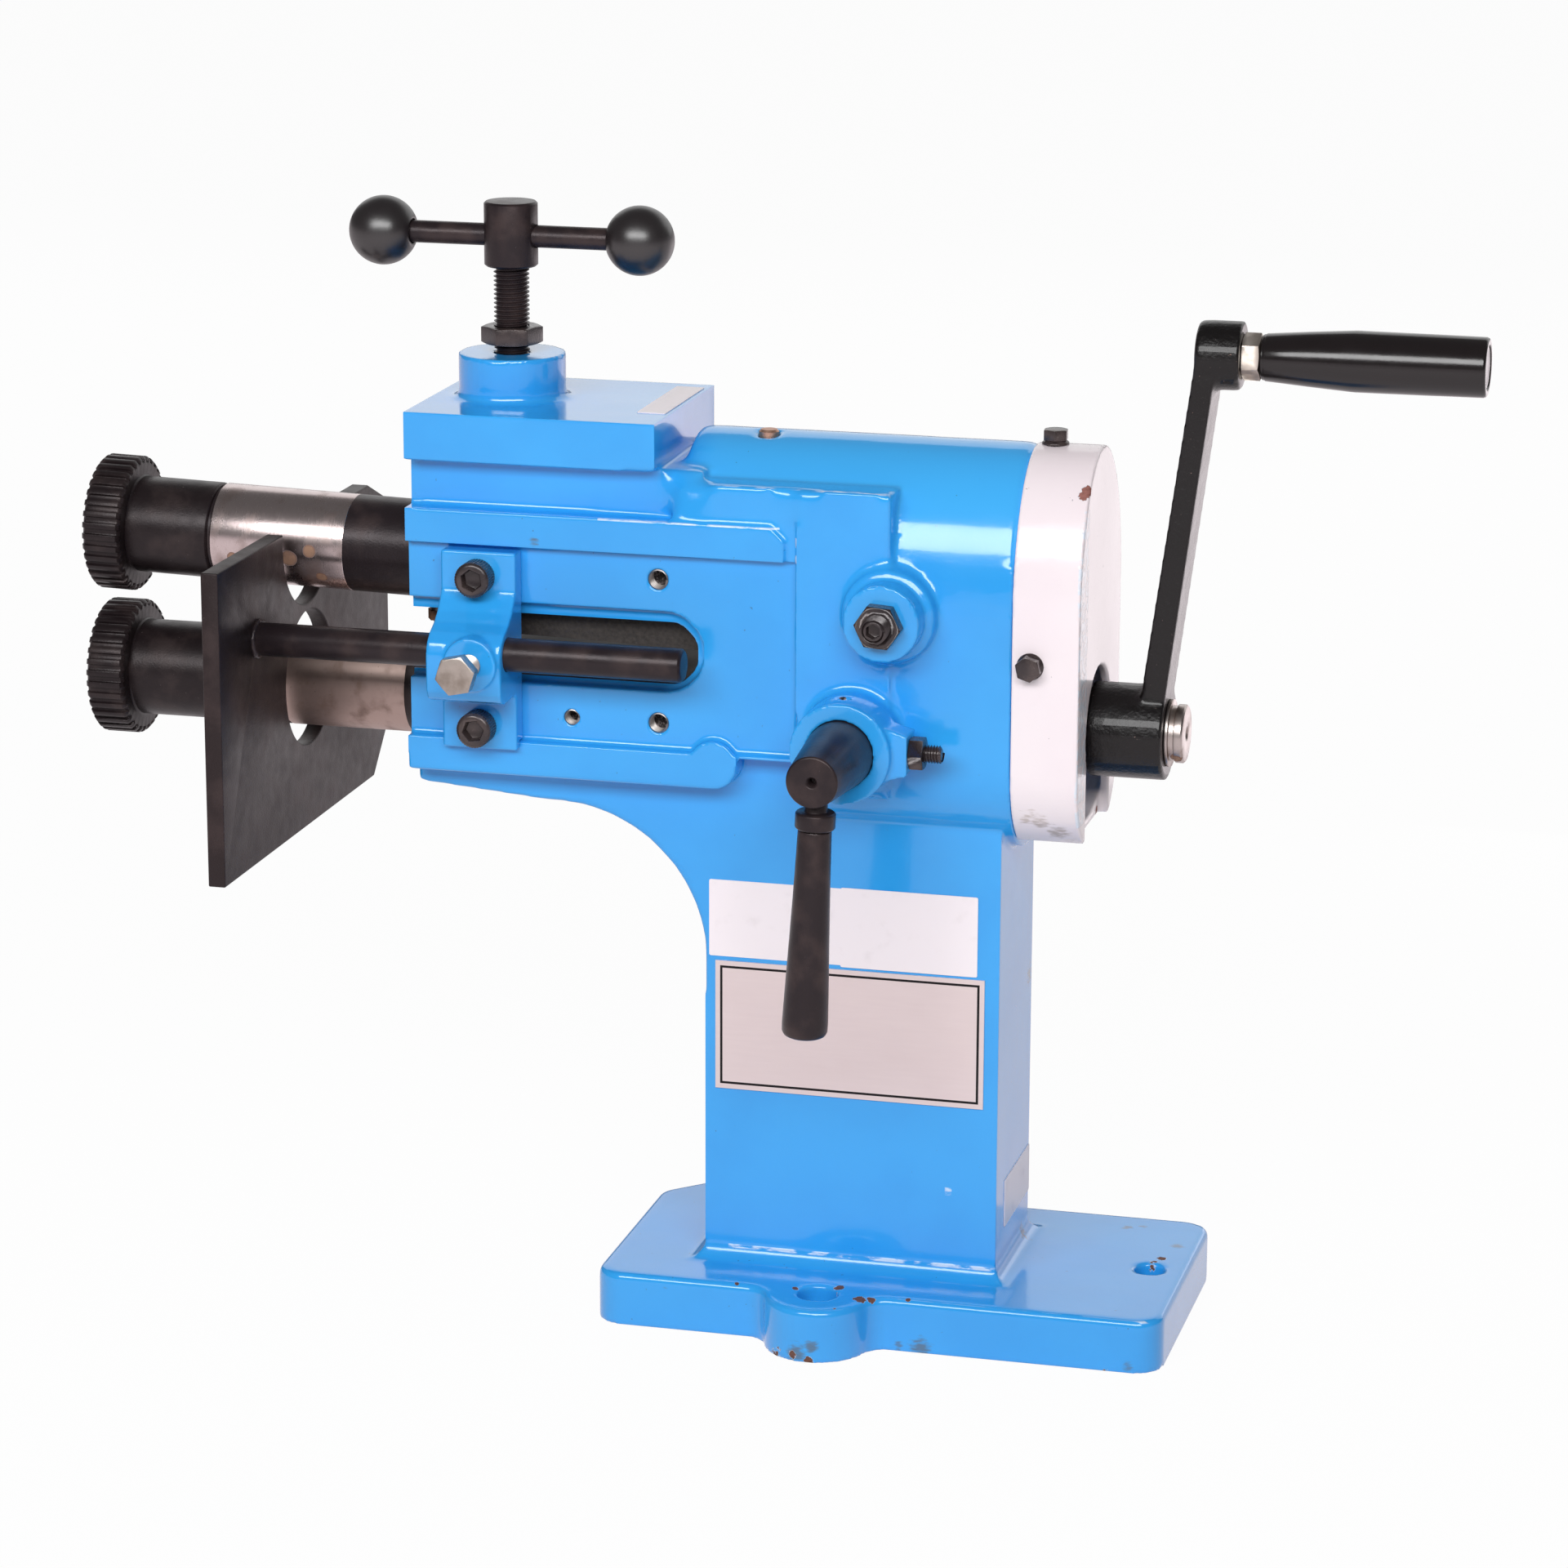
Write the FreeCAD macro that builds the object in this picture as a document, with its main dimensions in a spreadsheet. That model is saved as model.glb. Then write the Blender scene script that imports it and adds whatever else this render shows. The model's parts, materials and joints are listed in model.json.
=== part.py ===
"""Bead roller, a hand cranked bench machine, in millimetres.

X runs along the shafts from the forming rolls (left) to the crank (right), Y runs
from front to back and Z up. The origin is on the underside of the base plate,
half way between the front and rear ear holes.
"""
import FreeCAD, Part
import math
import os
import Sketcher

# Driving dimensions. Each one is a cell of the document's sheet under this name.
SIZES = {
    # base plate
    "base_left": 105, "base_right": 155, "base_half_depth": 68.3, "base_height": 24.5,
    "base_corner_radius": 13, "base_corner_cut": 22, "base_top_radius": 3,
    "ear_radius": 24, "ear_y": 68.6, "ear_hole_radius": 9, "ear_blend_radius": 11,
    "end_hole_x": 138, "end_hole_radius": 6.75,
    # column
    "column_left": 61, "column_right": 74, "column_half_depth": 36,
    "column_foot_radius": 8, "column_wall": 9, "core_web": 12, "core_top": 222,
    # barrel: an arch on straight flanks above a shallow keel that is cut flat
    "barrel_left": 73, "barrel_right": 79.5, "barrel_half": 48, "arch_z": 334, "arch_rise": 68,
    "keel_z": 263, "keel_drop": 42, "keel_cut": 9,
    "spigot_length": 15, "spigot_wall": 9, "cover_wall": 4, "cover_length": 30,
    # head
    "head_left": 195, "head_half": 40, "head_top_z": 389.4, "head_bottom_z": 239.3,
    "swoop_radius": 68.6, "swoop_z": 165.6, "swoop_start_z": 233.8,
    "pad_half": 45, "pad_right": 16, "pad_low_z": 264.5, "pad_high_z": 353,
    "rail_half": 50, "low_rail_z": 248.3, "low_rail_right": 43, "high_rail_z": 368,
    "high_rail_right": 21.5, "low_corner_radius": 11, "high_corner_cut": 6,
    "wall_right": 26, "wall_top_z": 385.5, "wall_low_z": 250,
    "block_right": 80, "block_height": 21.6,
    "screw_boss_radius": 24, "screw_boss_height": 20,
    # throat between the jaws
    "throat_low_z": 293, "throat_high_z": 321, "throat_end": 63,
    "recess_low_z": 290.8, "recess_high_z": 326.6,
    # room for the swing arm and the lower shaft
    "channel_half": 33, "channel_low_z": 300, "channel_high_z": 378,
    "shaft_channel_radius": 13.5, "collar_room_radius": 27, "collar_room_length": 64,
    # axes
    "pivot_x": 26, "pivot_z": 332.2, "upper_tilt": 1.65, "lower_axis_z": 275.3, "screw_x": 160,
    "lever_x": 10,
    # shafts, bushes and fits
    "shaft_radius": 12, "nose_radius": 11, "bush_outer": 15, "bush_length": 32, "running_gap": 0.05,
    "close_gap": 0.02, "face_gap": 0.3,
    # rolls
    "roll_x": 348, "roll_width": 18, "roll_radius": 31, "roll_chamfer": 1.5, "roll_teeth": 36,
    "notch_width": 2.6, "notch_depth": 1.6, "hub_radius": 22,
    "upper_hub_length": 39, "upper_sleeve_length": 64, "sleeve_groove": 1.5,
    "lower_hub_length": 73.5, "lower_sleeve_length": 67.8, "shoulder_gap": 1.5,
    "roll_nut_radius": 17, "roll_nut_depth": 6, "nut_thread_radius": 9,
    # keys
    "key_width": 6, "key_rise": 3, "roll_key_length": 11, "gear_key_length": 14,
    "crank_key_length": 24,
    # gears
    "gear_module": 3, "gear_teeth": 18, "gear_left": 82, "gear_width": 19, "gear_hub": 17,
    "gear_backlash": 0.45, "crank_hub_left": 107,
    # swing arm
    "arm_half": 30, "arm_below": 28.2, "arm_above": 29, "arm_left": 194.8, "arm_right": 72,
    "arm_nose": 21.8, "nose_below": 18,
    # springs that lift the swing arm
    "stud_x": 188, "stud_y": 22.5, "stud_radius": 3, "stud_low_z": 310.5, "stud_grip": 12,
    "stud_nut_z": 312, "stud_nut_height": 4.5, "stud_nut_flats": 10,
    "spring_outer": 4.8, "spring_inner": 3.4, "spring_pocket": 5.8,
    "stud_clearance": 5, "spring_top_z": 345,
    # pivot and lever bosses
    "pivot_boss_radius": 17, "pivot_foot_radius": 21, "pivot_boss_y": 68, "pivot_foot_y": 55,
    "pivot_screw_radius": 6, "pivot_tip_radius": 4, "pivot_tip_length": 8,
    "pivot_screw_y": 82, "pivot_nut_flats": 18, "pivot_nut_height": 7,
    "lever_boss_radius": 22.5, "lever_boss_y": 76, "ear_face_x": 39, "ear_face_half": 9,
    "ear_near_y": 56, "ear_far_y": 72, "lever_screw_y": 64, "lever_screw_radius": 4,
    "lever_screw_end": 53, "lever_nut_flats": 13, "lever_nut_height": 6.5,
    "oil_hole_radius": 2,
    # eccentric lever
    "lever_shaft_radius": 15, "lever_inner_y": 27, "eccentric": 3.5, "eccentric_pin_radius": 5,
    "eccentric_pin_end": 16, "lever_front_y": 125, "lever_front_radius": 11.3,
    "lever_cone_y": 80, "lever_groove_depth": 3, "lever_groove_half": 4.5,
    "centre_hole_radius": 2.1, "handle_y": 114, "handle_lean": 2.6,
    "handle_neck_radius": 5, "handle_collar_radius": 8.75, "handle_collar_length": 7.7,
    "handle_grip_top": 7.3, "handle_grip_bottom": 10, "handle_neck_start": 10,
    "handle_collar_start": 15.3, "handle_end": 116,
    # shift collar
    "collar_outer": 23, "collar_width": 18, "collar_slot_depth": 8, "clip_width": 2,
    "clip_radius": 16,
    # depth gauge
    "gauge_left": 267, "gauge_thickness": 8, "gauge_front": 115, "gauge_back": 112,
    "gauge_low_z": 206, "gauge_high_z": 348, "gauge_cut_y": 26, "gauge_cut_z": 11,
    "gauge_low_cut": 25, "gauge_low_hole": 31.5, "gauge_notch_radius": 31.5, "gauge_notch_z": 341.5,
    "rod_radius": 7.5, "rod_y": 67, "rod_z": 308.3, "rod_right": 62, "rod_spigot": 5,
    "bracket_left": 177, "bracket_right": 142.5, "bracket_high_z": 351,
    "bracket_low_z": 261.4,
    "bracket_ear": 10, "bracket_body_low": 286, "bracket_body_high": 331,
    "bracket_front_y": 78, "bracket_boss_y": 80, "bracket_boss_radius": 12,
    "clamp_bolt_x": 156, "clamp_bolt_z": 305.5, "clamp_bolt_radius": 5, "clamp_bolt_head_y": 95,
    "clamp_bolt_flats": 16, "clamp_bolt_head": 6.4,
    "bracket_screw_radius": 5, "bracket_head_radius": 8, "bracket_head": 10,
    "bracket_socket_flats": 8, "bracket_socket_depth": 5, "bracket_screw_grip": 9,
    "bracket_screw_high_z": 340, "bracket_screw_low_z": 271.8,
    # spare tapped holes of the pad
    "spare_x": 80, "spare_high_z": 341, "spare_low_z": 276, "spare_radius": 4.5, "spare_depth": 9,
    "small_spare_x": 120, "small_spare_radius": 3.6,
    # clamp screw
    "screw_radius": 8, "screw_nose_radius": 5, "screw_in_tee": 7.3, "tee_low_z": 469.7,
    "tee_height": 28.9, "tee_radius": 12, "cross_rise": 13.6, "cross_radius": 5,
    "ball_x": 59.5, "ball_radius": 15.5, "lock_nut_low_z": 435, "lock_nut_height": 8,
    "lock_nut_flats": 24, "foot_radius": 12, "foot_height": 8, "foot_socket": 5,
    "foot_room_radius": 15, "foot_room_height": 5, "foot_gap": 0.5,
    # cover screws, U opening of the cover
    "cover_screw_x": 88, "cover_screw_z": 313, "cover_screw_radius": 3, "flange_radius": 6,
    "flange_height": 1.5, "cover_screw_flats": 10, "cover_screw_head": 5,
    "cover_screw_grip": 11, "cutout_half": 26, "cutout_radius": 28,
    # crank
    "crank_hub_radius": 21, "crank_hub_length": 34, "arm_half_width": 13.5,
    "arm_foot_left": 129, "arm_foot_right": 140, "arm_top_left": 150.7, "arm_top_right": 160.3,
    "arm_foot_z": 285, "grip_z": 444.5, "crank_boss_radius": 15, "crank_boss_left": 150,
    "crank_boss_right": 169.7, "washer_radius": 15, "washer_height": 4, "crank_screw_radius": 13,
    "crank_screw_head": 4, "crank_screw_thread": 5, "crank_screw_depth": 20,
    "grip_nut_height": 8, "grip_nut_flats": 18, "spindle_radius": 6, "spindle_collar": 9,
    "grip_start_radius": 10.25, "grip_belly_radius": 13.25, "grip_end_radius": 13,
    "grip_belly_x": 218, "grip_right": 275, "grip_cap_depth": 3, "spindle_head": 3, "spindle_room": 9.3,
    # plug and plate
    "plug_x": 40, "plug_y": 5, "plug_radius": 4.5, "plug_depth": 8,
    "plate_left": 56, "plate_right": 67.5, "plate_low_z": 106, "plate_high_z": 166,
    "plate_thickness": 0.8,
}

doc = FreeCAD.newDocument("bead_roller")
sheet = doc.addObject("Spreadsheet::Sheet", "Sizes")
for row, (alias, value) in enumerate(SIZES.items(), start=1):
    sheet.set(f"A{row}", alias)
    sheet.set(f"B{row}", str(value))
    sheet.setAlias(f"B{row}", alias)
doc.recompute()


class Size:
    """A number together with the sheet formula that it comes from."""

    def __init__(self, value, text):
        self.value = value
        self.text = text

    def __add__(self, other):
        other = as_size(other)
        return Size(self.value + other.value, f"({self.text} + {other.text})")

    def __sub__(self, other):
        other = as_size(other)
        return Size(self.value - other.value, f"({self.text} - {other.text})")

    def __mul__(self, other):
        other = as_size(other)
        return Size(self.value * other.value, f"({self.text} * {other.text})")

    def __truediv__(self, other):
        other = as_size(other)
        return Size(self.value / other.value, f"({self.text} / {other.text})")

    def __radd__(self, other):
        return as_size(other) + self

    def __rsub__(self, other):
        return as_size(other) - self

    def __rmul__(self, other):
        return as_size(other) * self

    def __neg__(self):
        return Size(-self.value, f"(-{self.text})")


def as_size(number):
    """A plain number becomes a Size, and a Size stays as it is."""
    if isinstance(number, Size):
        return number
    return Size(float(number), f"({number!r})")


class Dimensions:
    """Reads the sheet: D.base_height is the Size of that cell."""

    def __getattr__(self, alias):
        return Size(float(SIZES[alias]), f"Sizes.{alias}")


D = Dimensions()
FRONT, REAR = -1, 1
SIDES = (FRONT, REAR)

# Turns that bring a piece from the X axis to another direction: turn axis and angle.
TURNS = {
    "right": ((0, 1, 0), 0),
    "up": ((0, 1, 0), -90),
    "down": ((0, 1, 0), 90),
    "front": ((0, 0, 1), -90),
    "rear": ((0, 0, 1), 90),
}

# Drawing in sketches.


def tie(sketch, kind, geometry, point, size):
    """Holds a point at a signed distance from the sketch's origin."""
    size = as_size(size)
    if size.value == 0:
        axis = -2 if kind == "DistanceX" else -1
        sketch.addConstraint(Sketcher.Constraint("PointOnObject", geometry, point, axis))
        return
    index = sketch.addConstraint(
        Sketcher.Constraint(kind, -1, 1, geometry, point, size.value))
    sketch.setExpression(f"Constraints[{index}]", size.text)


def place_point(sketch, geometry, point, across, along):
    tie(sketch, "DistanceX", geometry, point, across)
    tie(sketch, "DistanceY", geometry, point, along)


def polygon(*points):
    """A closed outline of straight lines through the points."""
    points = [(as_size(a), as_size(b)) for a, b in points]

    def draw(sketch):
        lines = []
        for start, end in zip(points, points[1:] + points[:1]):
            first = FreeCAD.Vector(start[0].value, start[1].value, 0)
            last = FreeCAD.Vector(end[0].value, end[1].value, 0)
            lines.append(sketch.addGeometry(Part.LineSegment(first, last)))
        for line, following in zip(lines, lines[1:] + lines[:1]):
            sketch.addConstraint(Sketcher.Constraint("Coincident", line, 2, following, 1))
        for line, (across, along) in zip(lines, points):
            place_point(sketch, line, 1, across, along)
    return draw


def rectangle(low_across, low_along, high_across, high_along):
    return polygon((low_across, low_along), (high_across, low_along),
                   (high_across, high_along), (low_across, high_along))


def disc(across, along, radius):
    across, along, radius = as_size(across), as_size(along), as_size(radius)

    def draw(sketch):
        centre = FreeCAD.Vector(across.value, along.value, 0)
        circle = sketch.addGeometry(
            Part.Circle(centre, FreeCAD.Vector(0, 0, 1), radius.value))
        place_point(sketch, circle, 3, across, along)
        index = sketch.addConstraint(Sketcher.Constraint("Radius", circle, radius.value))
        sketch.setExpression(f"Constraints[{index}]", radius.text)
    return draw


def oval(along, half_width, half_height):
    """An upright ellipse centred on the sketch's second axis."""
    along, half_width, half_height = as_size(along), as_size(half_width), as_size(half_height)

    def draw(sketch):
        centre = FreeCAD.Vector(0, along.value, 0)
        top = centre + FreeCAD.Vector(0, half_height.value, 0)
        side = centre + FreeCAD.Vector(half_width.value, 0, 0)
        upright = half_height.value >= half_width.value
        longer, shorter = (top, side) if upright else (side, top)
        ellipse = sketch.addGeometry(Part.Ellipse(longer, shorter, centre))
        sketch.exposeInternalGeometry(ellipse)
        place_point(sketch, ellipse, 3, 0, along)
        direction = "Vertical" if upright else "Horizontal"
        sketch.addConstraint(Sketcher.Constraint(direction, ellipse + 1))
        halves = (half_height, half_width) if upright else (half_width, half_height)
        for line, half in enumerate(halves, start=ellipse + 1):
            index = sketch.addConstraint(
                Sketcher.Constraint("Distance", line, 2 * half.value))
            sketch.setExpression(f"Constraints[{index}]", (2 * half).text)
    return draw


def together(*draws):
    """Several outlines in one sketch."""
    def draw(sketch):
        for each in draws:
            each(sketch)
    return draw


def hexagon(flats):
    """A hexagon about the sketch's origin, a corner on its second axis."""
    corner = flats / math.sqrt(3)
    angles = [math.radians(30 + 60 * turn) for turn in range(6)]
    return polygon(*[(corner * round(math.cos(angle), 9), corner * round(math.sin(angle), 9))
                     for angle in angles])


# Features of a body.


def new_body(label):
    body = doc.addObject("PartDesign::Body", label)
    body.Label = label
    return body


def new_sketch(body, role, offset, draw):
    """A sketch on one of the body's own planes, moved along its normal."""
    sketch = body.newObject("Sketcher::SketchObject", "outline")
    plane = next(f for f in body.Origin.OriginFeatures if f.Role == role)
    sketch.AttachmentSupport = [(plane, "")]
    sketch.MapMode = "FlatFace"
    sketch.setExpression("AttachmentOffset.Base.z", as_size(offset).text)
    draw(sketch)
    return sketch


def pad(body, role, low, high, draw):
    """Material between two distances along X, Y or Z. The XZ plane's normal is -Y."""
    low, high = as_size(low), as_size(high)
    offset = -high if role == "XZ_Plane" else low
    feature = body.newObject("PartDesign::Pad", "pad")
    feature.Profile = new_sketch(body, role, offset, draw)
    feature.setExpression("Length", (high - low).text)
    body.Tip = feature
    return feature


def pocket(body, role, low, high, draw):
    """A cut between two distances along X, Y or Z."""
    low, high = as_size(low), as_size(high)
    offset = -low if role == "XZ_Plane" else high
    feature = body.newObject("PartDesign::Pocket", "pocket")
    feature.Profile = new_sketch(body, role, offset, draw)
    feature.setExpression("Length", (high - low).text)
    body.Tip = feature
    return feature


def revolve(body, outside, bore=0):
    """A turned piece on the X axis: outside is (distance, radius) from left to right."""
    points = [(outside[0][0], bore)] + list(outside) + [(outside[-1][0], bore)]
    if as_size(outside[0][1]).value == as_size(bore).value:
        points = points[1:]
    if as_size(outside[-1][1]).value == as_size(bore).value:
        points = points[:-1]
    feature = body.newObject("PartDesign::Revolution", "turned")
    sketch = new_sketch(body, "XZ_Plane", 0, polygon(*points))
    feature.Profile = sketch
    feature.ReferenceAxis = (sketch, ["H_Axis"])
    feature.Angle = 360
    body.Tip = feature
    return feature


def within(x=None, y=None, z=None):
    """Chooses edges that lie between two values along each given axis."""
    limits = [(0, x), (1, y), (2, z)]

    def chosen(edge):
        box = edge.BoundBox
        low = (box.XMin, box.YMin, box.ZMin)
        high = (box.XMax, box.YMax, box.ZMax)
        margin = 0.05
        for axis, limit in limits:
            if limit is None:
                continue
            first, last = as_size(limit[0]).value, as_size(limit[1]).value
            if low[axis] < first - margin or high[axis] > last + margin:
                return False
        return True
    return chosen


def any_of(tests):
    return lambda edge: any(test(edge) for test in tests)


def all_of(*tests):
    return lambda edge: all(test(edge) for test in tests)


def upright(edge):
    box = edge.BoundBox
    return box.ZLength > 1 and box.XLength < 1e-3 and box.YLength < 1e-3


def round_edges(body, radius, chosen):
    """Rounds the edges of the body so far for which chosen(edge) is true."""
    doc.recompute()
    solid = body.Tip
    names = [f"Edge{number}" for number, edge in enumerate(solid.Shape.Edges, start=1)
             if chosen(edge)]
    feature = body.newObject("PartDesign::Fillet", "rounding")
    feature.Base = (solid, names)
    feature.setExpression("Radius", as_size(radius).text)
    body.Tip = feature
    return feature


def seat(piece, x=0, y=0, z=0, turn="right"):
    """Puts a piece at a place, turned from the X axis to the named direction."""
    axis, angle = TURNS[turn]
    piece.Placement = FreeCAD.Placement(FreeCAD.Vector(0, 0, 0),
                                        FreeCAD.Rotation(FreeCAD.Vector(*axis), angle))
    for letter, size in zip("xyz", (x, y, z)):
        piece.setExpression(f"Placement.Base.{letter}", as_size(size).text)
    return piece


def seat_on_pivot(piece):
    """Puts a piece in the swing arm's frame: X along the tilted upper shaft."""
    piece.Placement = FreeCAD.Placement(FreeCAD.Vector(0, 0, 0),
                                        FreeCAD.Rotation(FreeCAD.Vector(0, 1, 0), 1))
    piece.setExpression("Placement.Rotation.Angle", D.upper_tilt.text)
    piece.setExpression("Placement.Base.x", D.pivot_x.text)
    piece.setExpression("Placement.Base.z", D.pivot_z.text)
    return piece


def seat_on_lower(piece):
    return seat(piece, z=D.lower_axis_z)


def turned(label, outside, bore=0):
    body = new_body(label)
    revolve(body, outside, bore)
    return body


def hex_nut(label, flats, bore, height):
    body = new_body(label)
    pad(body, "YZ_Plane", 0, height, hexagon(flats))
    pocket(body, "YZ_Plane", 0, height, disc(0, 0, bore))
    return body


def group(label, pieces):
    """Several separate solids that share one node."""
    compound = doc.addObject("Part::Compound", label)
    compound.Label = label
    compound.Links = pieces
    return compound


def span(side, near, far):
    """Low and high Y of a stretch between two distances from the middle."""
    if side == FRONT:
        return -far, -near
    return near, far


# Frame casting.


def arch(body, cut, low, high, inset):
    """Adds or cuts the upper part of the barrel's cross-section."""
    half = D.barrel_half - inset
    for draw in (oval(D.arch_z, half, D.arch_rise - inset),
                 rectangle(-half, D.keel_z, half, D.arch_z)):
        cut(body, "YZ_Plane", low, high, draw)


def arched_profile(body, cut, low, high, inset, keel_inset):
    """Adds or cuts the barrel's cross-section, smaller all round by the inset."""
    arch(body, cut, low, high, inset)
    cut(body, "YZ_Plane", low, high,
        oval(D.keel_z, D.barrel_half - inset, D.keel_drop - keel_inset))


def cut_below(body, low, high, level):
    """Cuts the keel flat at a level."""
    pocket(body, "YZ_Plane", low, high,
           rectangle(-D.barrel_half - 1, level - D.keel_drop, D.barrel_half + 1, level))


def add_base(body):
    left, right = -D.base_left, D.base_right
    half, cut = D.base_half_depth, D.base_corner_cut
    pad(body, "XY_Plane", 0, D.base_height,
        polygon((left, -half), (right, -half), (right, half), (left + cut, half),
                (left, half - cut)))
    corners = [within(x=(x, x), y=(y, y)) for x, y in
               ((left, -half), (right, -half), (right, half), (left + cut, half),
                (left, half - cut))]
    round_edges(body, D.base_corner_radius, any_of(corners))
    for side in SIDES:
        pad(body, "XY_Plane", 0, D.base_height, disc(0, side * D.ear_y, D.ear_radius))
    blends = [within(x=(x * D.ear_radius - 1, x * D.ear_radius + 1), z=(0, D.base_height),
                     y=(side * half - 1, side * half + 1))
              for x in (-1, 1) for side in SIDES]
    round_edges(body, D.ear_blend_radius, all_of(any_of(blends), upright))
    round_edges(body, D.base_top_radius, within(z=(D.base_height, D.base_height)))


def add_column(body):
    left, right, half = -D.column_left, D.column_right, D.column_half_depth
    pad(body, "XY_Plane", D.base_height, D.keel_z, rectangle(left, -half, right, half))
    foot = within(x=(left, right), y=(-half, half), z=(D.base_height, D.base_height))
    round_edges(body, D.column_foot_radius, foot)


def add_barrel(body):
    arch(body, pad, -D.barrel_left, -D.pad_right, 0)
    arched_profile(body, pad, -D.pad_right, D.barrel_right, 0, 0)
    for side in SIDES:
        low, high = span(side, D.pad_half, D.rail_half)
        pocket(body, "XZ_Plane", low, high,
               rectangle(-D.barrel_left, D.pad_low_z, -D.pad_right, D.pad_high_z))


def add_spigot(body):
    """The ring behind the gear cover that the cover's screws go into."""
    outer = D.cover_wall + D.close_gap
    inner = outer + D.spigot_wall
    low, high = D.barrel_right, D.barrel_right + D.spigot_length
    arched_profile(body, pad, low - 1, high, outer, outer + D.keel_cut)
    arched_profile(body, pocket, low, high, inner, inner + D.keel_cut)


def add_head(body):
    left = -D.head_left
    pad(body, "XZ_Plane", -D.head_half, D.head_half,
        rectangle(left, D.low_rail_z, -D.column_left, D.head_top_z))
    swoop_x = -D.column_left - D.swoop_radius
    half = D.column_half_depth
    pad(body, "XZ_Plane", -half, half,
        polygon((left, D.low_rail_z), (left, D.head_bottom_z), (swoop_x, D.swoop_start_z),
                (swoop_x, D.swoop_z), (-D.column_left, D.swoop_z),
                (-D.column_left, D.low_rail_z)))
    pocket(body, "XZ_Plane", -half, half, disc(swoop_x, D.swoop_z, D.swoop_radius))
    pad(body, "XZ_Plane", -D.pad_half, D.pad_half,
        rectangle(left, D.pad_low_z, -D.pad_right, D.pad_high_z))
    low_right, round_z = -D.low_rail_right, D.low_rail_z + D.low_corner_radius
    round_x = low_right - D.low_corner_radius
    for draw in (rectangle(left, D.low_rail_z, round_x, D.pad_low_z),
                 disc(round_x, round_z, D.low_corner_radius),
                 rectangle(round_x, round_z, low_right, D.pad_low_z)):
        pad(body, "XZ_Plane", -D.rail_half, D.rail_half, draw)
    high_right, cut = -D.high_rail_right, D.high_corner_cut
    pad(body, "XZ_Plane", -D.rail_half, D.rail_half,
        polygon((left, D.pad_high_z), (high_right, D.pad_high_z),
                (high_right, D.high_rail_z - cut), (high_right - cut, D.high_rail_z),
                (left, D.high_rail_z)))
    pad(body, "XZ_Plane", -D.barrel_half, D.barrel_half,
        rectangle(-D.barrel_left, D.pad_high_z, D.wall_right, D.wall_top_z))
    pad(body, "XZ_Plane", -D.rail_half, D.rail_half,
        rectangle(-D.pad_right, D.wall_low_z, D.wall_right, D.wall_top_z))
    pad(body, "XY_Plane", D.head_top_z, D.head_top_z + D.block_height,
        rectangle(left, -D.rail_half, -D.block_right, D.rail_half))
    pad(body, "XY_Plane", block_top(), screw_boss_top(),
        disc(-D.screw_x, 0, D.screw_boss_radius))


def block_top():
    return D.head_top_z + D.block_height


def screw_boss_top():
    return block_top() + D.screw_boss_height


def add_bosses(body):
    for side in SIDES:
        for radius, end in ((D.pivot_boss_radius, D.pivot_boss_y),
                            (D.pivot_foot_radius, D.pivot_foot_y)):
            low, high = span(side, D.head_half, end)
            pad(body, "XZ_Plane", low, high, disc(D.pivot_x, D.pivot_z, radius))
    low, high = span(FRONT, D.head_half, D.lever_boss_y)
    pad(body, "XZ_Plane", low, high, disc(D.lever_x, D.lower_axis_z, D.lever_boss_radius))
    low, high = span(FRONT, D.ear_near_y, D.ear_far_y)
    middle, face = D.lower_axis_z, D.ear_face_half
    pad(body, "XZ_Plane", low, high,
        polygon((D.lever_x, middle + 2 * face), (D.lever_x, middle - 2 * face),
                (D.ear_face_x, middle - face), (D.ear_face_x, middle + face)))


def cut_throat(body):
    """The slot that the sheet passes through, and its wider shallow surround."""
    left = -D.head_left
    slot_radius = (D.throat_high_z - D.throat_low_z) / 2
    slot_middle = (D.throat_high_z + D.throat_low_z) / 2
    end = -D.throat_end - slot_radius
    low, high = -D.rail_half, D.rail_half
    pocket(body, "XZ_Plane", low, high, rectangle(left, D.throat_low_z, end, D.throat_high_z))
    pocket(body, "XZ_Plane", low, high, disc(end, slot_middle, slot_radius))
    recess_radius = (D.recess_high_z - D.recess_low_z) / 2
    recess_middle = (D.recess_high_z + D.recess_low_z) / 2
    for side in SIDES:
        low, high = span(side, D.head_half, D.pad_half)
        pocket(body, "XZ_Plane", low, high,
               rectangle(left, D.recess_low_z, end, D.recess_high_z))
        pocket(body, "XZ_Plane", low, high, disc(end, recess_middle, recess_radius))


def cut_inside(body):
    """Room for the swing arm, the lower shaft, its bushes and the shift collar."""
    left, right = -D.head_left, D.barrel_right
    pocket(body, "YZ_Plane", left, right,
           rectangle(-D.channel_half, D.channel_low_z, D.channel_half, D.channel_high_z))
    pocket(body, "YZ_Plane", left, right, disc(0, D.lower_axis_z, D.shaft_channel_radius))
    for low, high in ((left, left + D.bush_length), (right - D.bush_length, right)):
        pocket(body, "YZ_Plane", low, high, disc(0, D.lower_axis_z, D.bush_outer + D.close_gap))
    half_room = D.collar_room_length / 2
    pocket(body, "YZ_Plane", D.lever_x - half_room, D.lever_x + half_room,
           disc(0, D.lower_axis_z, D.collar_room_radius))
    core = D.column_half_depth - D.column_wall
    half_web = D.core_web / 2
    for low, high in ((-D.column_left + D.column_wall, -half_web),
                      (half_web, D.column_right - D.column_wall)):
        pocket(body, "XY_Plane", 0, D.core_top, rectangle(low, -core, high, core))


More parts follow.
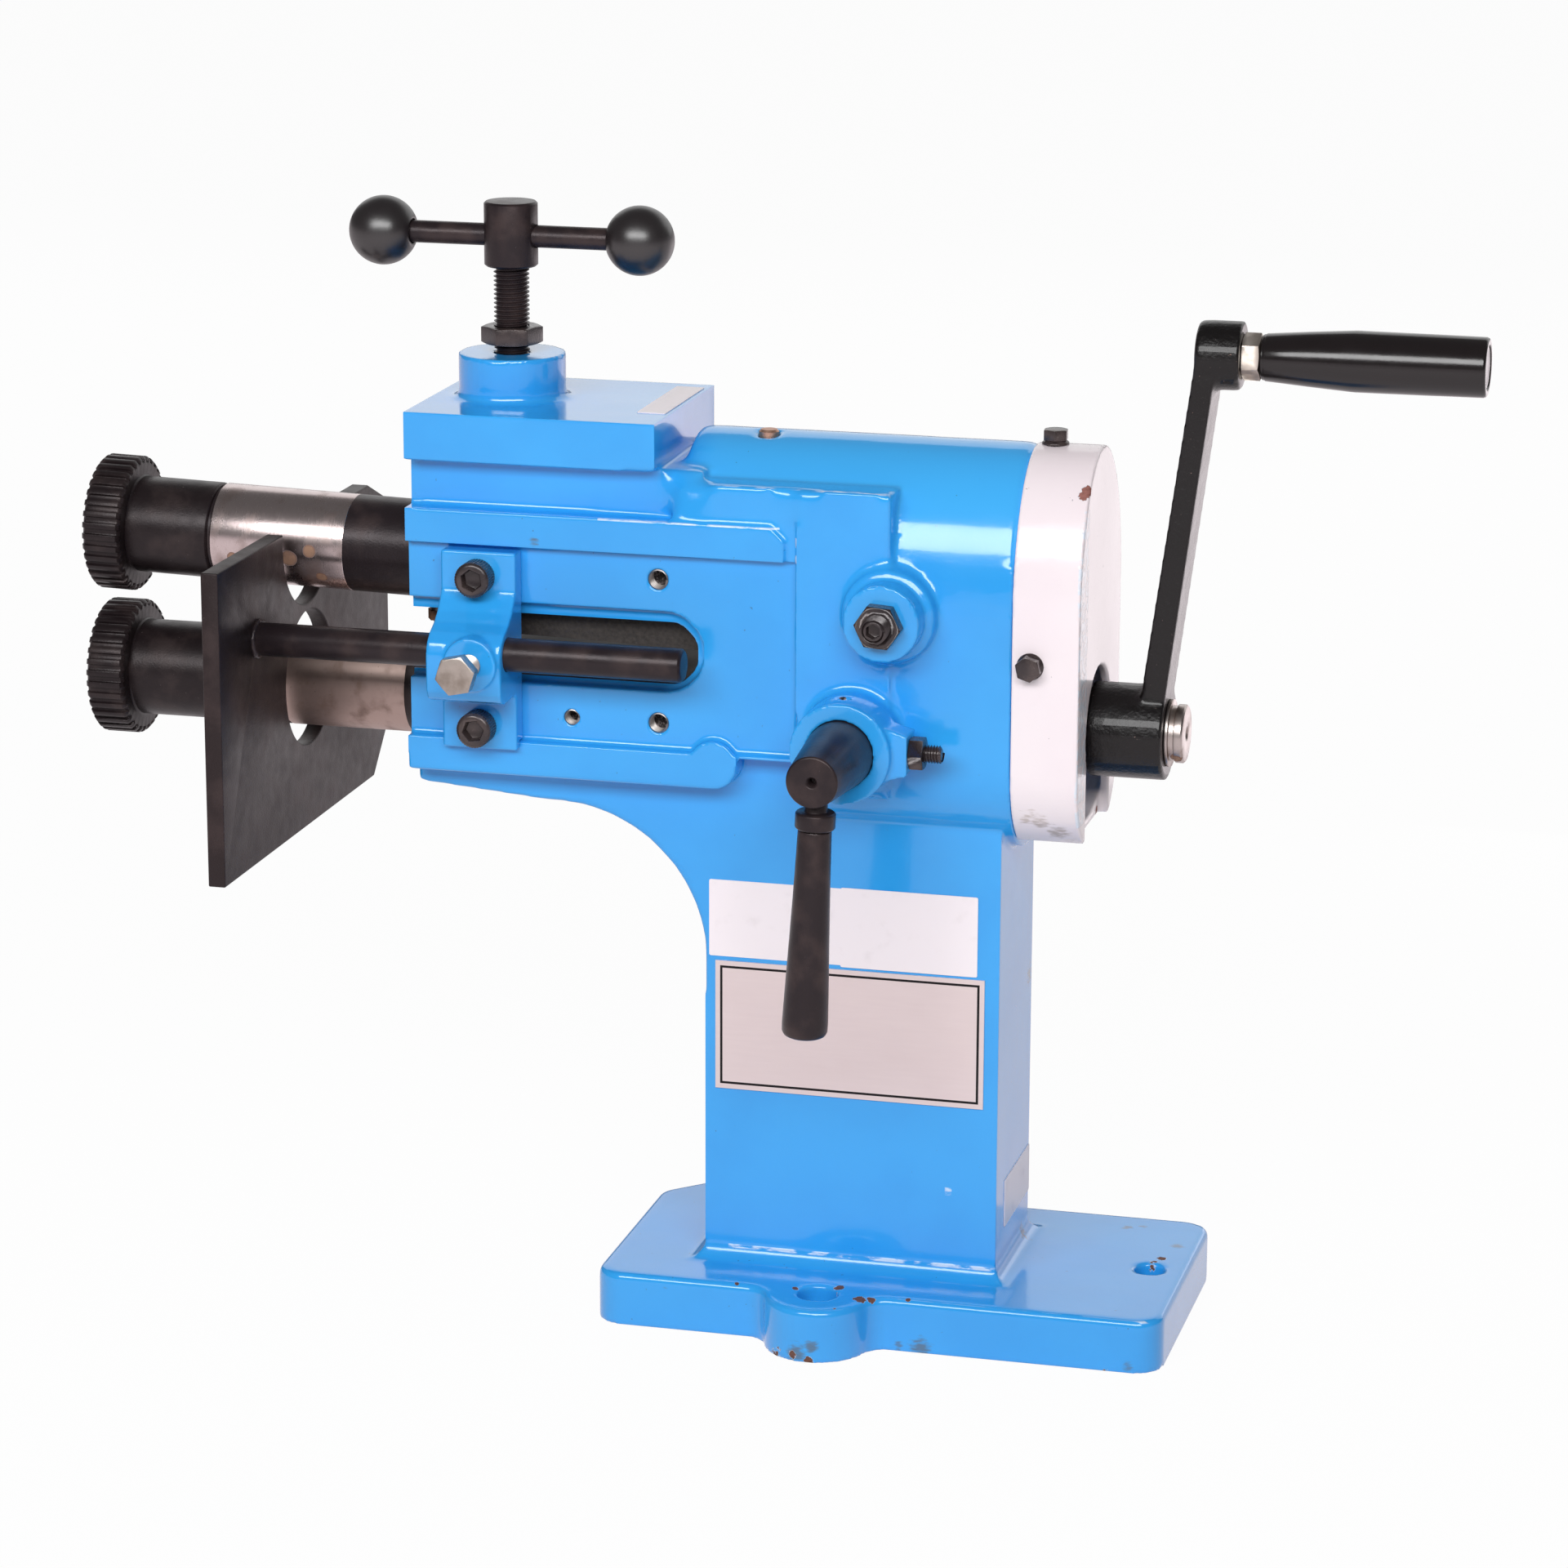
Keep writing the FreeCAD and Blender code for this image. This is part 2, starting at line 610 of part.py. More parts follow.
def cut_screw_holes(body):
    roof = D.channel_high_z
    pocket(body, "XY_Plane", roof, screw_boss_top(),
           disc(-D.screw_x, 0, D.screw_radius + D.running_gap))
    pocket(body, "XY_Plane", roof, roof + D.foot_room_height,
           disc(-D.screw_x, 0, D.foot_room_radius))
    stud_hole = D.stud_radius + D.close_gap
    pocket(body, "XY_Plane", roof, roof + D.stud_grip,
           together(*[disc(-D.stud_x, side * D.stud_y, stud_hole) for side in SIDES]))
    pocket(body, "XZ_Plane", -D.pivot_boss_y, D.pivot_boss_y,
           disc(D.pivot_x, D.pivot_z, D.pivot_screw_radius + D.close_gap))
    low, high = span(FRONT, D.pad_half - D.spare_depth, D.pad_half)
    bracket_hole = D.bracket_screw_radius + D.close_gap
    pocket(body, "XZ_Plane", low, high,
           together(disc(-D.spare_x, D.spare_high_z, D.spare_radius),
                    disc(-D.spare_x, D.spare_low_z, D.spare_radius),
                    disc(-D.small_spare_x, D.spare_low_z, D.small_spare_radius),
                    disc(-bracket_middle(), D.bracket_screw_high_z, bracket_hole),
                    disc(-bracket_middle(), D.bracket_screw_low_z, bracket_hole)))


def cut_lever_boss(body):
    low, high = span(FRONT, D.lever_inner_y - 7, D.lever_boss_y)
    pocket(body, "XZ_Plane", low, high,
           disc(D.lever_x, D.lower_axis_z, D.lever_shaft_radius + D.running_gap))
    pocket(body, "YZ_Plane", D.lever_x + D.lever_shaft_radius - 1, D.ear_face_x,
           disc(-D.lever_screw_y, D.lower_axis_z, D.lever_screw_radius + D.close_gap))
    pocket(body, "XY_Plane", D.lower_axis_z + D.lever_shaft_radius - 1,
           D.lower_axis_z + D.lever_boss_radius,
           disc(D.lever_x, -D.lever_screw_y, D.oil_hole_radius))


def cut_base_holes(body):
    ears = [disc(0, side * D.ear_y, D.ear_hole_radius) for side in SIDES]
    pocket(body, "XY_Plane", 0, D.base_height,
           together(disc(D.end_hole_x, 0, D.end_hole_radius), *ears))


def cut_top_and_cover_holes(body):
    top = D.arch_z + D.arch_rise
    pocket(body, "XY_Plane", top - D.plug_depth, top,
           disc(-D.plug_x, -D.plug_y, D.plug_radius + D.close_gap))
    hole = D.cover_screw_radius + D.close_gap
    inner = D.cover_wall + D.close_gap + D.spigot_wall
    pocket(body, "XY_Plane", top - inner, top, disc(D.cover_screw_x, 0, hole))
    pocket(body, "XZ_Plane", -D.barrel_half, D.barrel_half,
           disc(D.cover_screw_x, D.cover_screw_z, hole))


def frame_casting():
    body = new_body("frame_casting")
    add_base(body)
    add_column(body)
    add_barrel(body)
    add_spigot(body)
    add_head(body)
    add_bosses(body)
    cut_throat(body)
    cut_inside(body)
    cut_screw_holes(body)
    cut_lever_boss(body)
    cut_base_holes(body)
    cut_top_and_cover_holes(body)
    return body


# Gear cover and its screws.


def cover_bottom():
    return D.keel_z - D.keel_drop + D.keel_cut


def gear_cover():
    body = new_body("gear_cover")
    low, high = D.barrel_right, D.barrel_right + D.cover_length
    arched_profile(body, pad, low, high, 0, 0)
    cut_below(body, low, high, cover_bottom())
    arched_profile(body, pocket, low, high - D.cover_wall, D.cover_wall,
                   D.cover_wall + D.keel_cut)
    end = high - D.cover_wall
    pocket(body, "YZ_Plane", end, high, disc(0, D.lower_axis_z, D.cutout_radius))
    pocket(body, "YZ_Plane", end, high,
           rectangle(-D.cutout_half, cover_bottom(), D.cutout_half, D.lower_axis_z))
    hole = D.cover_screw_radius + D.close_gap
    top = D.arch_z + D.arch_rise
    pocket(body, "XY_Plane", top - 2 * D.cover_wall, top, disc(D.cover_screw_x, 0, hole))
    pocket(body, "XZ_Plane", -D.barrel_half, D.barrel_half,
           disc(D.cover_screw_x, D.cover_screw_z, hole))
    return body


def cover_screw(label):
    """A flange screw with its seat at the origin and its head to the right."""
    body = turned(label, [(-D.cover_screw_grip, D.cover_screw_radius),
                          (0, D.cover_screw_radius), (0, D.flange_radius),
                          (D.flange_height, D.flange_radius)])
    pad(body, "YZ_Plane", 0, D.flange_height + D.cover_screw_head, hexagon(D.cover_screw_flats))
    return body


def cover_screws():
    half = D.barrel_half
    return group("cover_screws", [
        seat(cover_screw("cover_screw_front"), D.cover_screw_x, -half, D.cover_screw_z, "front"),
        seat(cover_screw("cover_screw_rear"), D.cover_screw_x, half, D.cover_screw_z, "rear"),
        seat(cover_screw("cover_screw_top"), D.cover_screw_x, 0, D.arch_z + D.arch_rise, "up")])


def oil_plug():
    chamfer = 1
    body = turned("oil_plug", [(0, D.plug_radius), (D.plug_depth, D.plug_radius),
                               (D.plug_depth + chamfer, D.plug_radius - chamfer)])
    return seat(body, -D.plug_x, -D.plug_y, D.arch_z + D.arch_rise - D.plug_depth, "up")


def name_plate():
    plate = doc.addObject("Part::Box", "name_plate")
    plate.Label = "name_plate"
    plate.setExpression("Length", (D.plate_left + D.plate_right).text)
    plate.setExpression("Width", D.plate_thickness.text)
    plate.setExpression("Height", (D.plate_high_z - D.plate_low_z).text)
    return seat(plate, -D.plate_left, -D.column_half_depth - D.plate_thickness, D.plate_low_z)


# Swing arm: its own frame has X along the upper shaft and the pivot at the origin.


def bush(label, low, high):
    return turned(label, [(low, D.bush_outer), (high, D.bush_outer)],
                  D.shaft_radius + D.running_gap)


def swing_arm():
    body = new_body("swing_arm")
    left, right = -D.arm_left - D.pivot_x, D.arm_right - D.pivot_x
    nose = left + D.arm_nose
    half = D.arm_half
    pad(body, "YZ_Plane", nose, right, rectangle(-half, -D.arm_below, half, D.arm_above))
    pad(body, "YZ_Plane", left, nose, rectangle(-half, -D.nose_below, half, D.arm_above))
    pocket(body, "YZ_Plane", left, right, disc(0, 0, D.shaft_channel_radius))
    for low, high in ((left, left + D.bush_length), (right - D.bush_length, right)):
        pocket(body, "YZ_Plane", low, high, disc(0, 0, D.bush_outer + D.close_gap))
    stud = -D.stud_x - D.pivot_x
    for side in SIDES:
        low, high = span(side, half - D.pivot_tip_length - 2, half)
        pocket(body, "XZ_Plane", low, high, disc(0, 0, D.pivot_tip_radius + D.running_gap))
        pocket(body, "XY_Plane", -D.nose_below, spring_roof(),
               disc(stud, side * D.stud_y, D.spring_pocket))
        pocket(body, "XY_Plane", -D.nose_below, D.arm_above,
               disc(stud, side * D.stud_y, D.stud_clearance))
    return seat_on_pivot(body)


def slope():
    """Rise of the upper shaft towards the rolls."""
    tilt = SIZES["upper_tilt"]
    return Size(math.tan(math.radians(tilt)), "tan(Sizes.upper_tilt)")


def shaft_height(x):
    """Height of the upper shaft's axis a distance to the left of the origin."""
    return D.pivot_z + (x + D.pivot_x) * slope()


def spring_roof():
    """Where the springs push on the swing arm, in the arm's own frame."""
    return D.spring_top_z + D.face_gap - shaft_height(D.stud_x)


def upper_bushes():
    left, right = -D.arm_left - D.pivot_x, D.arm_right - D.pivot_x
    return [seat_on_pivot(bush("upper_front_bush", left, left + D.bush_length)),
            seat_on_pivot(bush("upper_rear_bush", right - D.bush_length, right))]


def lower_bushes():
    left, right = -D.head_left, D.barrel_right
    return [seat_on_lower(bush("lower_front_bush", left, left + D.bush_length)),
            seat_on_lower(bush("lower_rear_bush", right - D.bush_length, right))]


def pivot_screw(label):
    tip = D.arm_half - D.pivot_tip_length
    wall = D.channel_half - 1
    body = turned(label, [(tip, D.pivot_tip_radius), (wall, D.pivot_tip_radius),
                          (wall, D.pivot_screw_radius),
                          (D.pivot_screw_y - 1, D.pivot_screw_radius),
                          (D.pivot_screw_y, D.pivot_screw_radius - 1)])
    pocket(body, "YZ_Plane", D.pivot_screw_y - D.pivot_screw_radius, D.pivot_screw_y,
           hexagon(D.pivot_screw_radius))
    return body


def pivot_screws():
    return group("pivot_screws", [
        seat(pivot_screw("pivot_screw_" + turn), D.pivot_x, 0, D.pivot_z, turn)
        for turn in ("front", "rear")])


def pivot_nuts():
    nuts = []
    for turn, side in (("front", FRONT), ("rear", REAR)):
        nut = hex_nut("pivot_nut_" + turn, D.pivot_nut_flats,
                      D.pivot_screw_radius + D.close_gap, D.pivot_nut_height)
        nuts.append(seat(nut, D.pivot_x, side * D.pivot_boss_y, D.pivot_z, turn))
    return group("pivot_nuts", nuts)


def spring_set():
    """Studs from the head's roof, nuts on them, and the springs that lift the arm."""
    studs, nuts, springs = [], [], []
    for name, side in (("front", FRONT), ("rear", REAR)):
        place = (-D.stud_x, side * D.stud_y)
        stud = turned("stud_" + name, [(0, D.stud_radius),
                                       (D.channel_high_z + D.stud_grip - D.stud_low_z,
                                        D.stud_radius)])
        studs.append(seat(stud, *place, D.stud_low_z, "up"))
        nut = hex_nut("stud_nut_" + name, D.stud_nut_flats, D.stud_radius + D.close_gap,
                      D.stud_nut_height)
        nuts.append(seat(nut, *place, D.stud_nut_z, "up"))
        foot = D.stud_nut_z + D.stud_nut_height
        spring = turned("spring_" + name, [(0, D.spring_outer),
                                           (D.spring_top_z - foot, D.spring_outer)],
                        D.spring_inner)
        springs.append(seat(spring, *place, foot, "up"))
    return [group("spring_studs", studs), group("spring_nuts", nuts),
            group("return_springs", springs)]


# Pressure train on the clamp screw's axis; here X of a piece is the height.


def foot_low():
    """Underside of the pressure foot, just above the swing arm."""
    return shaft_height(D.screw_x) + D.arm_above + D.foot_gap


def pressure_foot():
    low, high = foot_low(), foot_low() + D.foot_height
    body = turned("pressure_foot", [(low, D.foot_radius - 2), (low + 2, D.foot_radius),
                                    (high, D.foot_radius)])
    pocket(body, "YZ_Plane", high - D.foot_socket, high,
           disc(0, 0, D.screw_nose_radius + D.running_gap))
    return seat(body, -D.screw_x, turn="up")


def tee_seat():
    """Top of the clamp screw, inside the hub of the cross bar."""
    return D.tee_low_z + D.screw_in_tee


def cross_height():
    return D.tee_low_z + D.cross_rise


def clamp_screw():
    tip = foot_low() + D.foot_height - D.foot_socket + D.face_gap
    shoulder = foot_low() + D.foot_height + 1
    body = turned("clamp_screw", [(tip, D.screw_nose_radius), (shoulder, D.screw_nose_radius),
                                  (shoulder, D.screw_radius), (tee_seat(), D.screw_radius)])
    return seat(body, -D.screw_x, turn="up")


def screw_hub():
    chamfer = 1
    low, high, radius = D.tee_low_z, D.tee_low_z + D.tee_height, D.tee_radius
    body = turned("screw_hub", [(low, radius - chamfer), (low + chamfer, radius),
                                (high - chamfer, radius), (high, radius - chamfer)])
    pocket(body, "YZ_Plane", low, tee_seat() + D.face_gap,
           disc(0, 0, D.screw_radius + D.close_gap))
    pocket(body, "XY_Plane", -radius, radius,
           disc(cross_height(), 0, D.cross_radius + D.close_gap))
    return seat(body, -D.screw_x, turn="up")


def knob_seat():
    """How far out the cross bar reaches into each ball."""
    return D.ball_x - D.ball_radius / 3


def cross_bar():
    body = turned("cross_bar", [(-knob_seat(), D.cross_radius), (knob_seat(), D.cross_radius)])
    return seat(body, -D.screw_x, z=cross_height())


def ball_knobs():
    balls = []
    for name, side in (("left", -1), ("right", 1)):
        ball = doc.addObject("Part::Sphere", "ball_" + name)
        ball.setExpression("Radius", D.ball_radius.text)
        seat(ball, -D.screw_x + side * D.ball_x, 0, cross_height())
        hole = doc.addObject("Part::Cylinder", "ball_hole_" + name)
        hole.setExpression("Radius", (D.cross_radius + D.close_gap).text)
        hole.setExpression("Height", (2 * (knob_seat() + D.face_gap)).text)
        # A cylinder stands on Z, and this turn lays it along X.
        seat(hole, -D.screw_x - knob_seat() - D.face_gap, 0, cross_height(), "down")
        knob = doc.addObject("Part::Cut", "knob_" + name)
        knob.Base = ball
        knob.Tool = hole
        balls.append(knob)
    return group("ball_knobs", balls)


def screw_lock_nut():
    nut = hex_nut("screw_lock_nut", D.lock_nut_flats, D.screw_radius + D.close_gap,
                  D.lock_nut_height)
    return seat(nut, -D.screw_x, 0, D.lock_nut_low_z, "up")


# Shafts. A piece is drawn on its own shaft's axis, X to the right.


def cut_keyway(body, low, high, bottom, top):
    pocket(body, "XY_Plane", bottom, top,
           rectangle(low, -D.key_width / 2, high, D.key_width / 2))


def key(label, low, length, seat_radius):
    box = doc.addObject("Part::Box", label)
    box.setExpression("Length", length.text)
    box.setExpression("Width", D.key_width.text)
    box.setExpression("Height", (2 * D.key_rise).text)
    return seat(box, low, -D.key_width / 2, seat_radius - D.key_rise)


def roll(label, left, hub_length):
    """A serrated forming roll with its hub, left face at the given distance."""
    right, chamfer, radius = left + D.roll_width, D.roll_chamfer, D.roll_radius
    end = right + hub_length
    body = turned(label, [(left, radius - chamfer), (left + chamfer, radius),
                          (right - chamfer, radius), (right, radius - chamfer),
                          (right, D.hub_radius), (end - 1, D.hub_radius),
                          (end, D.hub_radius - 1)], D.nose_radius + D.close_gap)
    pocket(body, "YZ_Plane", left, left + D.roll_nut_depth,
           disc(0, 0, D.roll_nut_radius + D.close_gap))
    low = left + D.roll_nut_depth
    cut_keyway(body, low, low + D.roll_key_length + D.face_gap, 0, D.nose_radius + D.key_rise)
    half = D.notch_width / 2
    notch = pocket(body, "YZ_Plane", left, right,
                   rectangle(-half, radius - D.notch_depth, half, radius + 1))
    pattern = body.newObject("PartDesign::PolarPattern", "serrations")
    pattern.Originals = [notch]
    pattern.Axis = (next(f for f in body.Origin.OriginFeatures if f.Role == "X_Axis"), [""])
    pattern.Angle = 360
    pattern.setExpression("Occurrences", D.roll_teeth.text)
    body.Tip = pattern
    return body


def roll_nut(label, left):
    """A round nut sunk in the roll's face, with two spanner notches."""
    body = turned(label, [(left + D.face_gap, D.roll_nut_radius),
                          (left + D.roll_nut_depth, D.roll_nut_radius)],
                  D.nut_thread_radius + D.close_gap)
    inner = D.roll_nut_radius - D.key_rise
    for low, high in ((inner, D.roll_nut_radius), (-D.roll_nut_radius, -inner)):
        pocket(body, "YZ_Plane", left, left + D.roll_nut_depth,
               rectangle(-D.key_width / 2, low, D.key_width / 2, high))
    return body


def sleeve(label, low, high):
    return turned(label, [(low, D.hub_radius - 1), (low + 1, D.hub_radius),
                          (high, D.hub_radius)], D.nose_radius + D.close_gap)


def gear_outline(teeth, module, backlash, half_tooth_first):
    """Edges of a spur gear's outline about X, flanks as arcs through three radii."""
    pitch = module * teeth / 2
    base = pitch * math.cos(math.radians(20))
    tip, root = pitch + module, pitch - 1.25 * module

    def half_angle(radius):
        """Half of the tooth's thickness at a radius, as an angle."""
        at_pitch = (math.pi * module / 2 - backlash / 2) / (2 * pitch)
        return at_pitch + involute(pitch, base) - involute(radius, base)

    def point(radius, angle):
        return FreeCAD.Vector(0, radius * math.cos(angle), radius * math.sin(angle))

    step = 2 * math.pi / teeth
    first = math.pi / 2 + (step / 2 if half_tooth_first else 0)
    edges = []
    for tooth in range(teeth):
        middle = first + tooth * step
        rising = [point(r, middle - half_angle(r)) for r in (root, pitch, tip)]
        falling = [point(r, middle + half_angle(r)) for r in (tip, pitch, root)]
        following = point(root, middle + step - half_angle(root))
        edges.append(Part.Arc(*rising).toShape())
        edges.append(Part.LineSegment(rising[-1], falling[0]).toShape())
        edges.append(Part.Arc(*falling).toShape())
        edges.append(Part.LineSegment(falling[-1], following).toShape())
    return edges


def involute(radius, base):
    """The involute function at a radius; below the base circle the flank is radial."""
    pressure = math.acos(min(1, base / radius))
    return math.tan(pressure) - pressure


def gear(label, left, hub_end, gap_on_top):
    """A spur gear on X with a bore, a keyway and, on one of them, a hub."""
    width, module, teeth = SIZES["gear_width"], SIZES["gear_module"], SIZES["gear_teeth"]
    shaft, key_top = SIZES["shaft_radius"], SIZES["shaft_radius"] + SIZES["key_rise"]
    start, bore = left.value, shaft + SIZES["close_gap"]
    axis = FreeCAD.Vector(1, 0, 0)
    corner = FreeCAD.Vector(start, 0, 0)
    wire = Part.Wire(gear_outline(teeth, module, SIZES["gear_backlash"], gap_on_top))
    shape = Part.Face(wire).extrude(axis * width)
    shape.translate(corner)
    if hub_end is not None:
        length = hub_end.value - start
        shape = shape.fuse(Part.makeCylinder(SIZES["gear_hub"], length, corner, axis))
    length = shape.BoundBox.XMax - start
    half_key = SIZES["key_width"] / 2
    keyway = Part.makeBox(length, 2 * half_key, key_top, FreeCAD.Vector(start, -half_key, 0))
    shape = shape.cut(Part.makeCylinder(bore, length, corner, axis)).cut(keyway)
    feature = doc.addObject("Part::Feature", label)
    feature.Label = label
    feature.Shape = shape
    return feature


def upper_roll_left():
    return -D.roll_x - D.roll_width / 2 - D.pivot_x


def upper_shaft_pieces():
    left = upper_roll_left()
    nut_end = left + D.roll_nut_depth
    hub_end = left + D.roll_width + D.upper_hub_length
    sleeve_start = hub_end + D.sleeve_groove
    shoulder = sleeve_start + D.upper_sleeve_length
    shoulder_end = -D.arm_left - D.pivot_x - D.shoulder_gap
    gear_left = D.gear_left - D.pivot_x
    gear_end = gear_left + D.gear_width
    clip = gear_end + D.face_gap
    end = clip + D.clip_width + 1
    nose, journal = D.nose_radius, D.shaft_radius

    shaft = turned("upper_shaft", [
        (left + 1, D.nut_thread_radius), (nut_end, D.nut_thread_radius), (nut_end, nose),
        (hub_end, nose), (hub_end, D.hub_radius - D.sleeve_groove),
        (sleeve_start, D.hub_radius - D.sleeve_groove), (sleeve_start, nose),
        (shoulder, nose), (shoulder, D.hub_radius), (shoulder_end, D.hub_radius),
        (shoulder_end, journal), (end, journal)])
    roll_key = nut_end
    gear_key = gear_left + 2
    cut_keyway(shaft, roll_key, roll_key + D.roll_key_length, nose - D.key_rise, nose + 1)
    cut_keyway(shaft, gear_key, gear_key + D.gear_key_length, journal - D.key_rise, journal + 1)
    keys = group("upper_keys", [
        key("upper_roll_key", roll_key, D.roll_key_length, nose),
        key("upper_gear_key", gear_key, D.gear_key_length, journal)])
    clip_ring = turned("upper_gear_clip", [(clip, D.clip_radius),
                                           (clip + D.clip_width, D.clip_radius)],
                       journal + D.close_gap)
    pieces = [shaft, keys, clip_ring,
              roll("upper_roll", left, D.upper_hub_length),
              roll_nut("upper_roll_nut", left),
              sleeve("upper_sleeve", sleeve_start, shoulder),
              gear("upper_gear", gear_left, None, False)]
    return [seat_on_pivot(piece) for piece in pieces]


def lower_shaft_pieces():
    left = -D.roll_x - D.roll_width / 2
    nut_end = left + D.roll_nut_depth
    hub_end = left + D.roll_width + D.lower_hub_length
    sleeve_end = hub_end + D.lower_sleeve_length
    end = D.crank_hub_left + D.crank_hub_length
    nose, journal = D.nose_radius, D.shaft_radius

    shaft = turned("lower_shaft", [
        (left + 1, D.nut_thread_radius), (nut_end, D.nut_thread_radius), (nut_end, nose),
        (sleeve_end, nose), (sleeve_end, journal), (end, journal)])
    roll_key, gear_key, crank_key = nut_end, D.gear_left + 2, D.crank_hub_left + 5
    cut_keyway(shaft, roll_key, roll_key + D.roll_key_length, nose - D.key_rise, nose + 1)
    for low, length in ((gear_key, D.gear_key_length), (crank_key, D.crank_key_length)):
        cut_keyway(shaft, low, low + length, journal - D.key_rise, journal + 1)
    pocket(shaft, "YZ_Plane", end - D.crank_screw_depth - 1, end,
           disc(0, 0, D.crank_screw_thread + D.close_gap))
    keys = group("lower_keys", [
        key("lower_roll_key", roll_key, D.roll_key_length, nose),
        key("lower_gear_key", gear_key, D.gear_key_length, journal),
        key("crank_key", crank_key, D.crank_key_length, journal)])
    washer = turned("crank_washer", [(end, D.washer_radius), (end + D.washer_height,
                                                              D.washer_radius)],
                    D.crank_screw_thread + D.close_gap)
    screw_seat = end + D.washer_height
    screw = turned("crank_screw", [
        (end - D.crank_screw_depth, D.crank_screw_thread), (screw_seat, D.crank_screw_thread),
        (screw_seat, D.crank_screw_radius),
        (screw_seat + D.crank_screw_head - 1, D.crank_screw_radius),
        (screw_seat + D.crank_screw_head, D.crank_screw_radius - 1)])
    half_collar = D.collar_width / 2
    clips = []
    for name, side in (("left", -1), ("right", 1)):
        near = half_collar + D.face_gap
        low, high = span(side, near, near + D.clip_width)
        clips.append(turned("collar_clip_" + name, [(D.lever_x + low, D.clip_radius),
                                                    (D.lever_x + high, D.clip_radius)],
                            journal + D.close_gap))
    pieces = [shaft, keys, washer, screw, group("collar_clips", clips),
              roll("lower_roll", left, D.lower_hub_length),
              roll_nut("lower_roll_nut", left),
              sleeve("lower_sleeve", hub_end, sleeve_end),
              gear("lower_gear", D.gear_left, D.crank_hub_left, True)]
    return [seat_on_lower(piece) for piece in pieces]


# Crank.


def crank_arm():
    body = new_body("crank_arm")
    axis, left = D.lower_axis_z, D.crank_hub_left
    right = left + D.crank_hub_length
    pad(body, "YZ_Plane", left, right, disc(0, axis, D.crank_hub_radius))
    half = D.arm_half_width
    pad(body, "XZ_Plane", -half, half,
        polygon((D.arm_foot_left, D.arm_foot_z), (D.arm_foot_right, D.arm_foot_z),
                (D.arm_top_right, D.grip_z), (D.arm_top_left, D.grip_z)))
    pad(body, "YZ_Plane", D.crank_boss_left, D.crank_boss_right,
        disc(0, D.grip_z, D.crank_boss_radius))
    pocket(body, "YZ_Plane", left, right, disc(0, axis, D.shaft_radius + D.close_gap))
    pocket(body, "YZ_Plane", D.crank_boss_left, D.crank_boss_right,
           disc(0, D.grip_z, D.spindle_radius + D.close_gap))
    cut_keyway(body, left, left + 5 + D.crank_key_length, axis,
               axis + D.shaft_radius + D.key_rise)
    return body


def grip_nut():
    nut = hex_nut("grip_nut", D.grip_nut_flats, D.spindle_radius + D.close_gap,
                  D.grip_nut_height)
    return seat(nut, D.crank_boss_right, 0, D.grip_z)


def grip_start():
    return D.crank_boss_right + D.grip_nut_height + D.face_gap


def spindle_shoulder():
    """Where the spindle's head keeps the grip from sliding off."""
    return D.grip_right - D.grip_cap_depth - D.spindle_head - 2 * D.face_gap


def grip_spindle():
    shoulder = spindle_shoulder()
    body = turned("grip_spindle", [
        (D.crank_boss_left, D.spindle_radius), (shoulder, D.spindle_radius),
        (shoulder, D.spindle_collar), (shoulder + D.spindle_head, D.spindle_collar)])
    return seat(body, z=D.grip_z)


def crank_grip():
    chamfer = 1.5
    body = turned("crank_grip", [
        (grip_start(), D.grip_start_radius), (D.grip_belly_x, D.grip_belly_radius),
        (D.grip_right - chamfer, D.grip_end_radius),
        (D.grip_right, D.grip_end_radius - chamfer)], D.spindle_radius + D.running_gap)
    pocket(body, "YZ_Plane", spindle_shoulder() - D.face_gap, D.grip_right,
           disc(0, 0, D.spindle_room))
    return seat(body, z=D.grip_z)


def grip_cap():
    body = turned("grip_cap", [(D.grip_right - D.grip_cap_depth, D.spindle_room - D.close_gap),
                               (D.grip_right, D.spindle_room - D.close_gap)])
    return seat(body, z=D.grip_z)


# Endwise shift of the lower shaft.


def shift_collar():
    """A ring on the lower shaft with an upright slot for the eccentric pin."""
    half = D.collar_width / 2
    body = turned("shift_collar", [(D.lever_x - half, D.collar_outer),
                                   (D.lever_x + half, D.collar_outer)],
                  D.shaft_radius + D.running_gap)
    slot = D.eccentric_pin_radius + 2 * D.running_gap
    low, high = span(FRONT, D.collar_outer - D.collar_slot_depth, D.collar_outer)
    pocket(body, "XZ_Plane", low, high,
           rectangle(D.lever_x - slot, -D.collar_outer / 2, D.lever_x + slot,
                     D.collar_outer / 2))
    return seat_on_lower(body)


def eccentric_shaft():
    radius, groove = D.lever_shaft_radius, D.lever_shaft_radius - D.lever_groove_depth
    groove_start = D.lever_screw_y - D.lever_groove_half
    groove_end = D.lever_screw_y + D.lever_groove_half
    body = turned("eccentric_shaft", [
        (D.lever_inner_y, radius), (groove_start, radius), (groove_start, groove),
        (groove_end, groove), (groove_end, radius), (D.lever_cone_y, radius),
        (D.lever_front_y, D.lever_front_radius)])
    pad(body, "YZ_Plane", D.eccentric_pin_end, D.lever_inner_y,
        disc(0, -D.eccentric, D.eccentric_pin_radius))
    pocket(body, "YZ_Plane", D.lever_front_y - 2 * D.centre_hole_radius, D.lever_front_y,
           disc(0, 0, D.centre_hole_radius))
    pocket(body, "XY_Plane", -radius, -D.handle_neck_start + 1,
           disc(D.handle_y, 0, D.handle_neck_radius + 2 * D.face_gap))
    return seat(body, D.lever_x, 0, D.lower_axis_z, "front")


